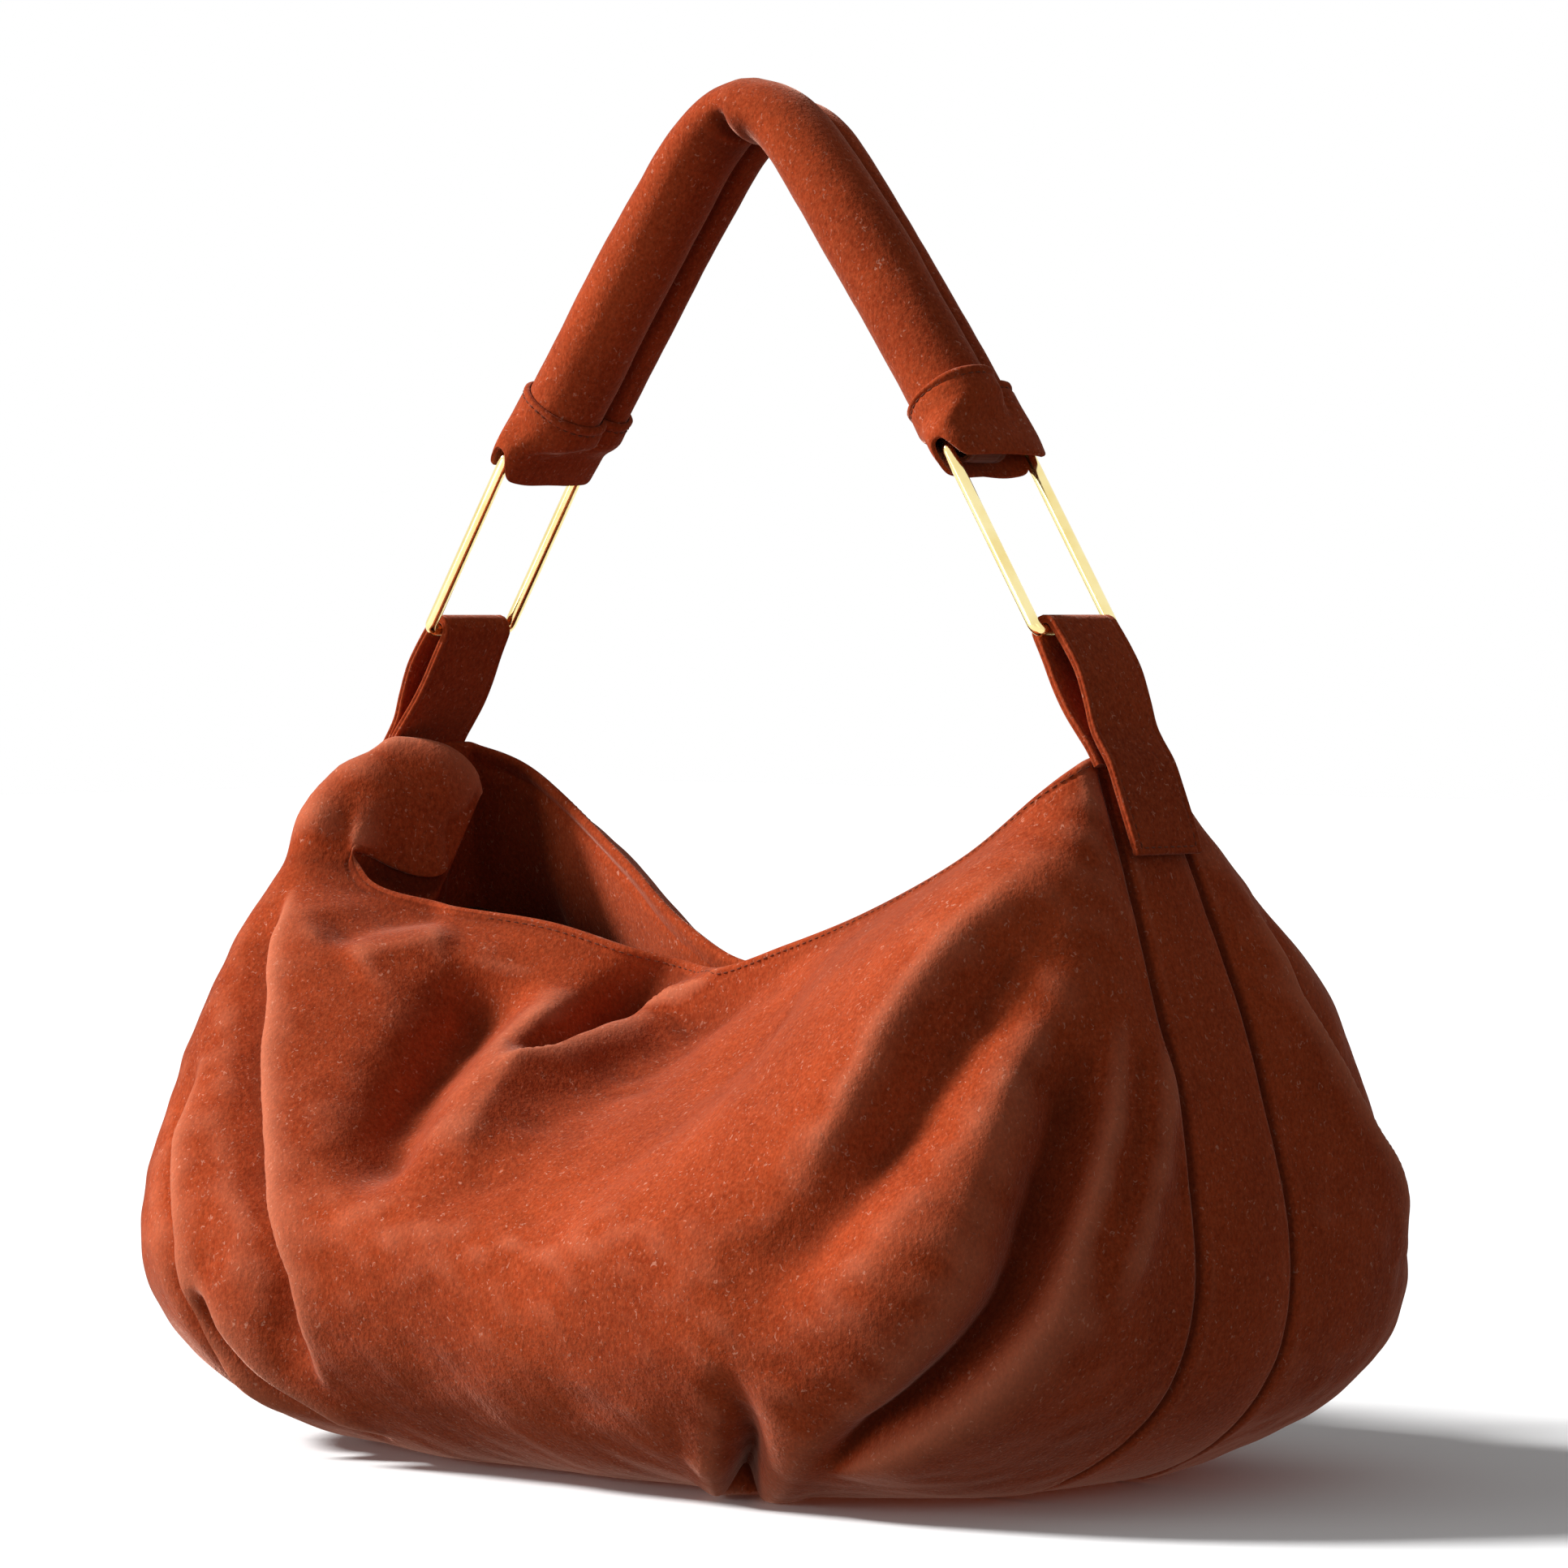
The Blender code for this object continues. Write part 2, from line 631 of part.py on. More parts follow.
def ring_of(here, across, outline, stretch=(1.0, 1.0)):
    return [
        (here[0] + across[0] * p * stretch[0], q * stretch[1], here[1] + across[1] * p * stretch[0])
        for p, q in outline
    ]


def along_handle(end, outline, count):
    """Rings of an outline along the route, which stops short of each upper bar by end."""
    route = handle_route()
    length = np.linalg.norm(np.diff(route, axis=0), axis=1).sum()
    found = []
    for fraction in np.linspace(end / length, 1 - end / length, count):
        here, across = station(route, fraction)
        apex = math.exp(-((here[0] / APEX_REACH) ** 2))
        stretch = (1 - APEX_FLATTEN * apex, 1 + APEX_SPREAD * apex)
        found.append(ring_of(here, across, outline, stretch))
    return found


def handle():
    suede = principled("handle_suede", SUEDE_COLOUR, 0.9)
    foam = principled("handle_foam", FOAM_COLOUR, 0.95)
    tube_solid(
        "handle_cover",
        along_handle(COVER_END, lobed(0.0), 27),
        along_handle(COVER_END, lobed(-COVER), 27),
        suede,
    )
    angles = np.arange(12) * 2 * math.pi / 12
    radius = ROLL_RADIUS - COVER - 2 * GAP
    core = np.stack([radius * np.cos(angles), radius * np.sin(angles)], axis=1)
    tube_solid("handle_core", along_handle(CORE_END, core * 0.93 + ROLL_CENTRE, 23), None, foam)


def leg_end(sign):
    """The upper bar's centre, the way up the handle's leg from it, and the way across, outward."""
    bar = np.array([sign * UPPER_BAR[0], UPPER_BAR[1]])
    above = np.array([sign * HANDLE_LINE[-1][0], HANDLE_LINE[-1][1]])
    up = (above - bar) / np.linalg.norm(above - bar)
    return bar, up, sign * np.array([up[1], -up[0]])


def cuffs():
    for sign, side in ((LEFT, "left"), (RIGHT, "right")):
        suede = principled(side + "_cuff_suede", SUEDE_COLOUR, 0.9)
        bar, up, out = leg_end(sign)
        shells = []
        for extra in (CUFF, 0.0):
            wide = lobed(GAP + extra)
            flat = rounded(CUFF_HALF_THICK + extra, CUFF_HALF_WIDTH + extra)
            steps = ((CUFF_TOP, wide), (CUFF_LOBED, wide), (CUFF_FLAT, flat), (CUFF_BOTTOM, flat))
            shells.append([ring_of(bar + up * along, out, outline) for along, outline in steps])
        tube_solid(side + "_cuff", *shells, suede)

        inside = [(LOOP_EYE, LOOP_TAIL), *arc(0.0, LOOP_EYE, 0.0, -math.pi, 11)]
        inside += [(-LOOP_EYE, LOOP_TAIL)]
        outside = LOOP_EYE + LOOP_STRAP
        outer = [(-outside, LOOP_TAIL), *arc(0.0, outside, -math.pi, 0.0, 11)]
        outer += [(outside, LOOP_TAIL)]
        outline = [tuple(bar + out * across + up * along) for across, along in inside + outer]
        webbing = principled(side + "_end_loop_webbing", LINING_COLOUR, 0.8)
        loop = flat_outline(side + "_end_loop", [outline], LOOP_HALF_WIDTH, webbing)
        loop.location[1] = ROLL_CENTRE[1]


panels()
gussets()
base()
snap()
tabs()
rings()
handle()
cuffs()
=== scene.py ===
"""How the hobo bag looks: folded suede body, stitched tab straps, polished rings and a padded handle.

Everything is in metres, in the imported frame: X along the bag, -Y its front, +Z up.
"""

import math  # noqa: E402

import bmesh  # noqa: E402
import bpy  # noqa: E402
import numpy as np  # noqa: E402
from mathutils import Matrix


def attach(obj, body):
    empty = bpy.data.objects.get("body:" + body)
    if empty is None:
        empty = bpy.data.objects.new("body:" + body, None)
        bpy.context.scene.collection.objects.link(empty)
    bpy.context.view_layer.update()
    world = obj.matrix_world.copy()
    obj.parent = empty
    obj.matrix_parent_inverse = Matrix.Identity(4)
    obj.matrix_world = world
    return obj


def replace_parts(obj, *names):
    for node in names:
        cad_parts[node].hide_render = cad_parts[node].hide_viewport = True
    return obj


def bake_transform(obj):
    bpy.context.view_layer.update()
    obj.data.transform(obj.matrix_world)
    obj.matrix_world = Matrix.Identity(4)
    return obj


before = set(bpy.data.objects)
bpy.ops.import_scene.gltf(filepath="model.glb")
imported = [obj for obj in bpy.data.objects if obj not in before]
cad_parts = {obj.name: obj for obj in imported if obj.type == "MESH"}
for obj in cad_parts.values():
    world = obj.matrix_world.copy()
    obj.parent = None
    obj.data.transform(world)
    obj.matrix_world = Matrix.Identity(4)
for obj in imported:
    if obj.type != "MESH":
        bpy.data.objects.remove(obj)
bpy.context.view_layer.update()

FRONT, BACK = -1.0, 1.0
LEFT, RIGHT = -1.0, 1.0
SIDES = ((LEFT, "left"), (RIGHT, "right"))
MM = 0.001

# The body's dimensions, as the CAD has them
HALF_LENGTH = 0.189
HALF_DEPTH = 0.127
WIDEST_Z = 0.066
WIDEST_POWER = 4.0
BASE_HALF_LENGTH = 0.110
BASE_HALF_DEPTH = 0.064
BASE_POWER = 3.0
GUSSET_HALF_WIDEST = 0.021
GUSSET_HALF_BASE = 0.027
GUSSET_CROWN = 0.0015
FRONT_RIM = (
    (-0.144, -0.012, 0.211), (-0.141, -0.024, 0.205), (-0.137, -0.037, 0.186), (-0.125, -0.044, 0.170),
    (-0.098, -0.039, 0.163), (-0.062, -0.027, 0.158), (-0.028, -0.018, 0.149), (0.000, -0.016, 0.146),
    (0.030, -0.018, 0.154), (0.064, -0.022, 0.165), (0.103, -0.025, 0.182), (0.130, -0.024, 0.200),
    (0.141, -0.019, 0.208), (0.144, -0.012, 0.211),
)
BACK_RIM = (
    (-0.144, 0.012, 0.211), (-0.140, 0.020, 0.210), (-0.115, 0.022, 0.202), (-0.067, 0.012, 0.177),
    (-0.032, 0.003, 0.158), (0.000, 0.000, 0.147), (0.032, 0.003, 0.154), (0.067, 0.012, 0.168),
    (0.103, 0.020, 0.185), (0.130, 0.022, 0.202), (0.141, 0.019, 0.209), (0.144, 0.012, 0.211),
)
CENTRE_HANDLES = np.array(((0.22, 0.22), (1.00, 0.62)))
SEAM_HANDLES = np.array(((0.25, 0.17), (0.95, 0.72)))
CORNER_HANDLES = np.array(((0.50, 0.00), (0.85, 0.62)))
CORNER_SPAN = 0.75
HEM_DROP, SNAP_DROP, SNAP_REACH = 0.004, 0.018, 0.035
FACING_DEPTH = 0.0041

# The mesh's fineness
PANEL_COLUMNS = 168  # each side of the centre
GUSSET_COLUMNS = 16
HEM_ROWS, UPPER_ROWS, LOWER_ROWS = 12, 124, 84
BLEND_PASSES, NORMAL_PASSES = 160, 24  # how often the rows near the widest one and the normals are smoothed
COARSE = 2  # a hidden side of a sheet has this many times fewer rows and columns
HEM_SHARE, WIDEST_SHARE = 0.02, 0.608  # how far down a body line its hem and its widest point are


# ---------------- curves


def spline(points, samples=24):
    """A smooth curve through the points, sampled evenly between each pair."""
    p = np.array(points, float)
    ends = np.vstack([2 * p[0] - p[1], p, 2 * p[-1] - p[-2]])
    t = np.linspace(0.0, 1.0, samples, endpoint=False)[:, None]
    found = []
    for a, b, c, d in zip(ends, ends[1:], ends[2:], ends[3:]):
        cubic = 2 * b + (c - a) * t + (2 * a - 5 * b + 4 * c - d) * t**2
        found.append(0.5 * (cubic + (3 * b - a - 3 * c + d) * t**3))
    return np.vstack([*found, p[-1:]])


def run_of(line):
    """Distance along a polyline to each of its points."""
    return np.concatenate([[0.0], np.cumsum(np.linalg.norm(np.diff(line, axis=0), axis=1))])


def points_at(stops, run, line):
    """A polyline's points at these distances along it, where run is the distance to each of its own."""
    return np.stack([np.interp(stops, run, line[:, k]) for k in range(line.shape[1])], axis=-1)


def at_fractions(line, fractions):
    run = run_of(line)
    return points_at(fractions, run / run[-1], line)


def superellipse_front(half_x, half_y, power, start_y):
    angle = np.linspace(0.0, math.pi, 400)
    x = -half_x * np.sign(np.cos(angle)) * np.abs(np.cos(angle)) ** (2 / power)
    y = -half_y * np.abs(np.sin(angle)) ** (2 / power)
    kept = np.stack([x, y], axis=1)[y <= -start_y]
    end_x = half_x * (1 - (start_y / half_y) ** power) ** (1 / power)
    return np.vstack([[-end_x, -start_y], kept, [end_x, -start_y]])


def smooth(t):
    t = np.clip(t, 0.0, 1.0)
    return t * t * (3 - 2 * t)


def bell(distance, width):
    return np.exp(-((distance / width) ** 2))


def unit(vectors):
    return vectors / np.linalg.norm(vectors, axis=-1, keepdims=True)


def waves(points, length, seed, count=14):
    """Gentle noise from a few sine waves of about this wavelength, between about -1 and 1."""
    random = np.random.default_rng(seed)
    ways = unit(random.normal(size=(count, 3)))
    ways *= 2 * math.pi / (length * random.uniform(0.7, 1.5, (count, 1)))
    phases = random.uniform(0, 2 * math.pi, count)
    return np.sin(points @ ways.T + phases).sum(-1) / math.sqrt(count)


def squared_oval(count, halves, exponent):
    """An oval's points. The smaller the exponent, the squarer it is."""
    angles = np.arange(count) * 2 * math.pi / count
    circle = np.stack([np.cos(angles), np.sin(angles)], axis=1)
    return np.sign(circle) * np.abs(circle) ** exponent * halves


def base_end(y):
    return BASE_HALF_LENGTH * (1 - (np.abs(y) / BASE_HALF_DEPTH) ** BASE_POWER) ** (1 / BASE_POWER)


# ---------------- the body's surface

ROW_SHARES = np.concatenate(
    [
        np.linspace(0, 1, HEM_ROWS + 1)[:-1] ** 1.5 * HEM_SHARE,
        np.linspace(HEM_SHARE, WIDEST_SHARE, UPPER_ROWS + 1)[:-1],
        np.linspace(WIDEST_SHARE, 1.0, LOWER_ROWS + 1),
    ]
)
GUSSET_SHARE = 0.06  # the columns' share runs on to here at the middle of a gusset


def rolled(side, shares):
    """Where the mouth's edge has no hem: along the front's left shoulder and at the back's left seam."""
    start, reach = (0.64, 0.12) if side == FRONT else (0.985, 0.07)
    return smooth((-shares - start) / reach)


# The front's left shoulder rolls in over the mouth's edge
TURN_SHARE, TURN_LENGTH = 0.14, 40 * MM  # the rows down to this share are spread over the turn too
TURN_TOP, TURN_END = 0.18, math.radians(-86)  # level after this part of its length, then down to this slope
TURN_WAY = np.array([0.73, 0.68])
TURN_STEPS = 40


def rolled_in(panel, share):
    """The front's left shoulder rolls on over the mouth's edge and a little way in, up to the end seam."""
    part = rolled(FRONT, share) * (1 - smooth((-share - 0.92) / 0.05))
    rows = np.nonzero(ROW_SHARES < TURN_SHARE)[0]
    steps = np.linspace(0, 1, TURN_STEPS)
    for j in np.nonzero(part > 0)[0]:
        line = panel[:, j]
        rising = line[0] - np.mean(line[8:20], axis=0)
        start = math.atan2(rising[2], rising[:2] @ TURN_WAY)
        reach = TURN_LENGTH * part[j]
        ease = 1.5 - 1.05 * smooth((share[j] + 0.90) / 0.22)
        past_top = np.clip((steps - TURN_TOP) / (1 - TURN_TOP), 0, 1)
        angle = np.where(steps < TURN_TOP, start * (1 - steps / TURN_TOP), TURN_END * past_top**ease)
        ahead = np.column_stack([np.cos(angle)[:, None] * TURN_WAY, np.sin(angle)])
        arc = line[0] + np.vstack([np.zeros(3), np.cumsum(ahead[:-1] * reach / (TURN_STEPS - 1), axis=0)])
        longer = np.vstack([arc[:0:-1], line])
        aims = run_of(line)[rows] + reach * ROW_SHARES[rows] / TURN_SHARE
        panel[rows, j] = points_at(aims, run_of(longer), longer)
    return panel


def half_body(side):
    """Rows by columns over one half of the body, and the share along the panel of each column."""
    rim = spline(FRONT_RIM if side == FRONT else BACK_RIM)
    middle = int(np.argmin(np.abs(rim[:, 0])))
    share = np.linspace(-1.0, 1.0, 2 * PANEL_COLUMNS + 1)
    eased = 0.5 * (share + np.sin(share * math.pi / 2))
    rims = np.where(
        eased[:, None] < 0,
        at_fractions(rim[: middle + 1], np.clip(1 + eased, 0, 1)),
        at_fractions(rim[middle:], np.clip(eased, 0, 1)),
    )
    flip = np.array([1.0, -side])
    widest = superellipse_front(HALF_LENGTH, HALF_DEPTH, WIDEST_POWER, GUSSET_HALF_WIDEST)
    base = superellipse_front(BASE_HALF_LENGTH, BASE_HALF_DEPTH, BASE_POWER, GUSSET_HALF_BASE)
    widest = at_fractions(widest, (share + 1) / 2) * flip
    base = at_fractions(base, (share + 1) / 2) * flip
    outness = np.abs(share)[:, None]
    corner = np.sin(math.pi * np.minimum(1.0, (1 - outness) / CORNER_SPAN))
    handles = []
    for k in range(2):
        plain = SEAM_HANDLES[k] + (CENTRE_HANDLES[k] - SEAM_HANDLES[k]) * (1 - outness)
        handles.append(plain + (CORNER_HANDLES[k] - plain) * corner)
    drop = HEM_DROP + SNAP_DROP * bell(rims[:, 0], SNAP_REACH)
    drop = drop * (1 - 0.95 * (smooth((-share - 0.60) / 0.2) if side == FRONT else 0))
    hem = rims - np.stack([0 * drop, 0 * drop, drop], axis=1)
    rows = []
    for v in ROW_SHARES:
        if v < HEM_SHARE:
            rows.append(rims + (hem - rims) * v / HEM_SHARE)
        elif v <= WIDEST_SHARE:
            t = (v - HEM_SHARE) / (WIDEST_SHARE - HEM_SHARE)
            first, second = handles
            across, down = (3 * t * (1 - t) ** 2 * first + 3 * t**2 * (1 - t) * second + t**3).T
            plan = hem[:, :2] + (widest - hem[:, :2]) * across[:, None]
            rows.append(np.column_stack([plan, hem[:, 2] + (WIDEST_Z - hem[:, 2]) * down]))
        else:
            angle = (v - WIDEST_SHARE) / (1 - WIDEST_SHARE) * math.pi / 2
            plan = widest + (base - widest) * (1 - math.cos(angle))
            height = WIDEST_Z * (1 - math.sin(angle))
            rows.append(np.column_stack([plan, np.full(len(plan), height)]))
    panel = np.array(rows)
    near_widest = bell(ROW_SHARES - WIDEST_SHARE, 0.07)
    near_hem = smooth(ROW_SHARES / 0.015) * bell(ROW_SHARES - 0.05, 0.07)
    eased_rows = np.maximum(near_widest, near_hem)[1:-1, None, None]
    for _ in range(BLEND_PASSES):
        panel[1:-1] += 0.25 * eased_rows * (panel[:-2] + panel[2:] - 2 * panel[1:-1])
    if side == FRONT:
        panel = rolled_in(panel, share)
    ends = []
    for edge, sign in ((panel[:, 0], LEFT), (panel[:, -1], RIGHT)):
        half = []
        for k in range(GUSSET_COLUMNS):
            left_to_go = k / GUSSET_COLUMNS
            line = edge.copy()
            line[:, 1] = edge[:, 1] * left_to_go
            to_base = np.clip(1 - line[:, 2] / WIDEST_Z, 0, 1) ** 2
            crown = GUSSET_CROWN * (1 - left_to_go**2) * (1 - to_base)
            bulge = base_end(line[:, 1]) - base_end(edge[:, 1])
            line[:, 0] += sign * (crown + bulge * to_base)
            half.append(line)
        ends.append(half if sign == LEFT else half[::-1])
    grid = np.concatenate([np.stack(ends[0], 1), panel, np.stack(ends[1], 1)], axis=1)
    past = 1 + GUSSET_SHARE * (1 - np.arange(GUSSET_COLUMNS) / GUSSET_COLUMNS)
    return grid, np.concatenate([-past, share, past[::-1]])


def grid_normals(grid, side):
    normal = np.cross(np.gradient(grid, axis=0), np.gradient(grid, axis=1)) * -side
    normal[:, [0, -1], 1] = 0.0
    length = np.linalg.norm(normal, axis=2, keepdims=True)
    return normal / np.maximum(length, 1e-12)


def on_grid(grid, shares, u, v):
    """The grid's values at this share along and share down, blended between its points."""
    columns = np.interp(u, shares, np.arange(len(shares)))
    rows = np.interp(v, ROW_SHARES, np.arange(len(ROW_SHARES)))
    i = np.clip(rows.astype(int), 0, grid.shape[0] - 2)
    j = np.clip(columns.astype(int), 0, grid.shape[1] - 2)
    a, b = (rows - i)[:, None], (columns - j)[:, None]
    top = grid[i, j] * (1 - b) + grid[i, j + 1] * b
    low = grid[i + 1, j] * (1 - b) + grid[i + 1, j + 1] * b
    return top * (1 - a) + low * a


PATH_POINTS = 120
CREST_BLUNT = 1.2 * MM


class Fold:
    """A fold in the suede: a crest along a line, soft on one side, steep on the other, and a hollow beyond.

    The line's points are in percent of the way along from the middle, and down from the rim. Going down
    the front, the steep side is on the left. Sizes are in millimetres, one number or several from the
    line's start to its end.
    """

    def __init__(
        self, line, crest=0, soft=12, steep=5, dip=0, dip_at=10, dip_width=8, lean=0, fade=(0.25, 0.25)
    ):
        self.line, self.fade = np.array(line) / 100, fade
        self.sizes = (crest, soft, steep, dip, dip_at, dip_width, lean)

    def shift(self, grid, normals, shares):
        path = at_fractions(spline(self.line), np.linspace(0, 1, PATH_POINTS))
        points = on_grid(grid, shares, path[:, 0], path[:, 1])
        along = unit(np.gradient(points, axis=0))
        across = unit(np.cross(along, on_grid(normals, shares, path[:, 0], path[:, 1])))
        run = run_of(points)
        length = run[-1]
        run /= length
        full = np.ones_like(run)
        for share, part in zip((run, 1 - run), self.fade):
            if part:
                full = full * smooth(share / part)
        flat = grid.reshape(-1, 3)
        reach = MM * (3 * max(np.max(self.sizes[1]), np.max(self.sizes[5])) + np.max(self.sizes[4]))
        low, high = points.min(0) - reach, points.max(0) + reach
        near = np.nonzero(np.all((flat > low) & (flat < high), axis=1))[0]
        squared = ((flat[near, None, :] - points[None]) ** 2).sum(-1)
        nearest = squared.argmin(1)
        offset = flat[near] - points[nearest]
        side = (offset * across[nearest]).sum(1)
        half_step = 0.5 * length / (PATH_POINTS - 1)
        ahead = np.clip((offset * along[nearest]).sum(1), -half_step, half_step)
        beside = offset - along[nearest] * ahead[:, None]
        distance = np.linalg.norm(beside, axis=1) * np.where(side < 0, -1, 1)
        least = squared.min(1)
        share = np.exp(-(squared - least[:, None]) / (0.5 * least + (1.5 * MM) ** 2)[:, None])
        share /= share.sum(1, keepdims=True)
        here = share @ run

        crest, soft, steep, dip, dip_at, dip_width, lean = (
            MM * np.interp(here, np.linspace(0, 1, np.size(size)), np.atleast_1d(size))
            for size in self.sizes
        )
        slope = np.exp(-(np.sqrt(distance**2 + CREST_BLUNT**2) - CREST_BLUNT) / soft)
        slope = slope * bell(distance, 2.2 * soft)
        profile = np.where(distance < 0, slope, 1 - smooth(distance / (2 * steep)))
        hollow = bell(distance - dip_at, dip_width)
        strength = np.interp(run[nearest] + ahead / length, run, full)
        moved = np.zeros_like(flat)
        moved[near] = normals.reshape(-1, 3)[near] * (strength * (crest * profile - dip * hollow))[:, None]
        leaning = lean * profile * bell(distance, 3 * steep) * strength
        moved[near] += (share @ across) * leaning[:, None]
        return moved.reshape(grid.shape)


FRONT_FOLDS = [
    # the full left shoulder
    Fold([(-98.5, 8), (-93, 10), (-85, 12), (-76, 12), (-68, 12)], crest=8, soft=17, steep=10,
        fade=(0.4, 0.3)),
    # down the left of the front, from below the mouth's corner to the base
    Fold([(-66, 11.8), (-59, 15.7), (-54, 21.6), (-48, 28.4), (-44, 34.3), (-36, 44.1), (-31, 51),
        (-26, 60.8), (-25, 65.7), (-26, 70.6), (-29, 80)], crest=(5, 7, 8, 8, 7, 5), soft=20, steep=3,
        dip=(3, 6, 7, 7, 5), dip_at=10, dip_width=9, lean=2.5, fade=(0.15, 0.2)),
    Fold([(-60, 36), (-56, 42), (-52, 50), (-48, 57.8), (-47, 64.7), (-47, 72.5), (-48, 80), (-50, 90)],
        crest=6, soft=14, steep=3, dip=5, dip_at=9, dip_width=8, lean=2),
    Fold([(-45, 64), (-42, 68), (-40, 72.5), (-38, 76.5), (-35, 80), (-31, 88)], crest=5, soft=13,
        steep=2.5, dip=8, dip_at=7, dip_width=6, lean=2.5),
    # the ridge that runs down-left from the middle of the mouth, and the hollow above it
    Fold([(-17, 5), (-15, 14.7), (-13.5, 23.5), (-12, 30), (-9, 38.2), (-6, 47)],
        crest=(6, 9, 11, 11, 9, 6), soft=22, steep=18, dip=13, dip_at=30, dip_width=14),
    Fold([(-36, 7), (-41, 13.7), (-44, 21)], crest=3, soft=12, steep=9, dip=3, dip_at=18, dip_width=10),
    # the right half's edge, folded over the left half
    Fold([(2, 0), (-1, 0.3), (-4.5, 0.7), (-7.5, 1.4), (-9, 3.2), (-9.5, 6), (-10, 11.8), (-10.5, 17.6),
        (-11, 22.5), (-13, 26.2), (-16, 29)], crest=(6, 7, 8, 7, 5, 3), soft=(60, 44, 30, 20, 14),
        steep=(3, 2.6, 2.4, 2.4), dip=(0, 1, 6, 11, 11, 9, 7, 4), dip_at=9, dip_width=(10, 9, 8),
        lean=(0, 1, 1.5, 1.5, 1), fade=(0, 0.25)),
    # the big roll on the right, with the deep hollow on its left
    Fold([(94, 30), (91, 37), (86, 48), (82, 55.9), (78, 63.7), (72, 71), (65, 78), (57, 86)],
        crest=(4, 6, 8, 9, 9, 7, 5), soft=(14, 16, 18, 20), steep=(6, 4, 3, 2, 1.6),
        dip=(5, 10, 16, 18, 15, 10, 6), dip_at=(14, 13, 12, 9, 6, 5), dip_width=(12, 13, 12, 9, 6, 5),
        lean=(0, 1, 2, 3, 3, 2), fade=(0.25, 0.15)),
    Fold([(99, 33), (96, 43), (93, 50), (89, 57.8), (86, 66)], crest=3.5, soft=8, steep=5, dip=2,
        dip_at=10, dip_width=6),
    # broad diagonal drapes across the middle
    Fold([(83, 18), (76, 25), (68, 33), (62, 41.2), (55, 49), (43, 60), (36, 68)],
        dip=(6, 10, 10, 8, 4), dip_at=0, dip_width=16, fade=(0.25, 0.3)),
    Fold([(40, 58), (48, 47), (52.5, 39), (56.5, 31), (63.5, 24), (74, 16), (82, 12)],
        crest=(4, 6, 8, 7, 5), soft=26, steep=9, fade=(0.3, 0.3)),
    Fold([(90, 27), (81, 33), (73, 39), (66, 46), (58, 55), (50, 65)], crest=3.5, soft=20, steep=14,
        fade=(0.5, 0.3)),
    Fold([(30, 8), (22, 22), (16, 38), (10, 50), (6, 60), (4, 68)], dip=5, dip_at=0, dip_width=22),
    # the pinch at the bottom, with a lobe on each side
    Fold([(40, 66), (42, 74.5), (43, 80), (43, 87), (43, 97)], dip=(2, 4, 9, 12, 11), dip_at=0,
        dip_width=(9, 6, 4, 4), fade=(0.3, 0.05)),
    Fold([(37, 76), (37, 84), (38, 91), (40, 98)], crest=2.5, soft=9, steep=5, fade=(0.4, 0.1)),
    Fold([(48, 98), (50, 90), (51, 82), (53, 74)], crest=3, soft=10, steep=6, fade=(0.1, 0.4)),
]
BACK_FOLDS = [
    # from the base up the back's right end
    Fold([(74, 64), (76, 53.9), (81, 48), (85, 41.2), (89, 34.3), (89, 29.4), (88, 20)], crest=6,
        soft=15, steep=3, dip=5, dip_at=10, dip_width=8, lean=2),
    Fold([(-70, 12), (-60, 25), (-50, 38), (-42, 52), (-38, 66), (-40, 80)], crest=8, soft=20, steep=3,
        dip=7, dip_at=12, dip_width=10, lean=2.5),
    Fold([(62, 85), (56, 72), (55, 58), (60, 44), (66, 32), (70, 20)], crest=7, soft=20, steep=3, dip=7,
        dip_at=12, dip_width=9, lean=2.5),
    Fold([(4, 6), (8, 16), (14, 28), (22, 40)], crest=7, soft=13, steep=7, dip=7, dip_at=20,
        dip_width=13),
    Fold([(-10, 10), (-16, 24), (-20, 40), (-22, 56)], dip=8, dip_at=0, dip_width=18),
    Fold([(-34, 20), (-30, 34), (-30, 50), (-34, 62)], crest=5, soft=15, steep=8),
    Fold([(34, 24), (28, 45), (18, 62)], dip=8, dip_at=0, dip_width=20),
    Fold([(-6, 64), (-4, 78), (-4, 97)], dip=(6, 13, 14), dip_at=0, dip_width=(8, 5, 4),
        fade=(0.4, 0.05)),
    Fold([(-16, 70), (-14, 84), (-10, 97)], crest=5, soft=11, steep=6, fade=(0.4, 0.1)),
    Fold([(4, 97), (7, 82), (8, 68)], crest=5, soft=11, steep=6, fade=(0.1, 0.4)),
]


SEAM_SINK = 1.6 * MM


def near_seams(grid, width):
    """1 on the seams between the panel and the gussets, falling to 0 about this far from them."""
    seams = (grid[:, [GUSSET_COLUMNS]], grid[:, [-GUSSET_COLUMNS - 1]])
    return sum(bell(np.linalg.norm(grid - seam, axis=2), width) for seam in seams)


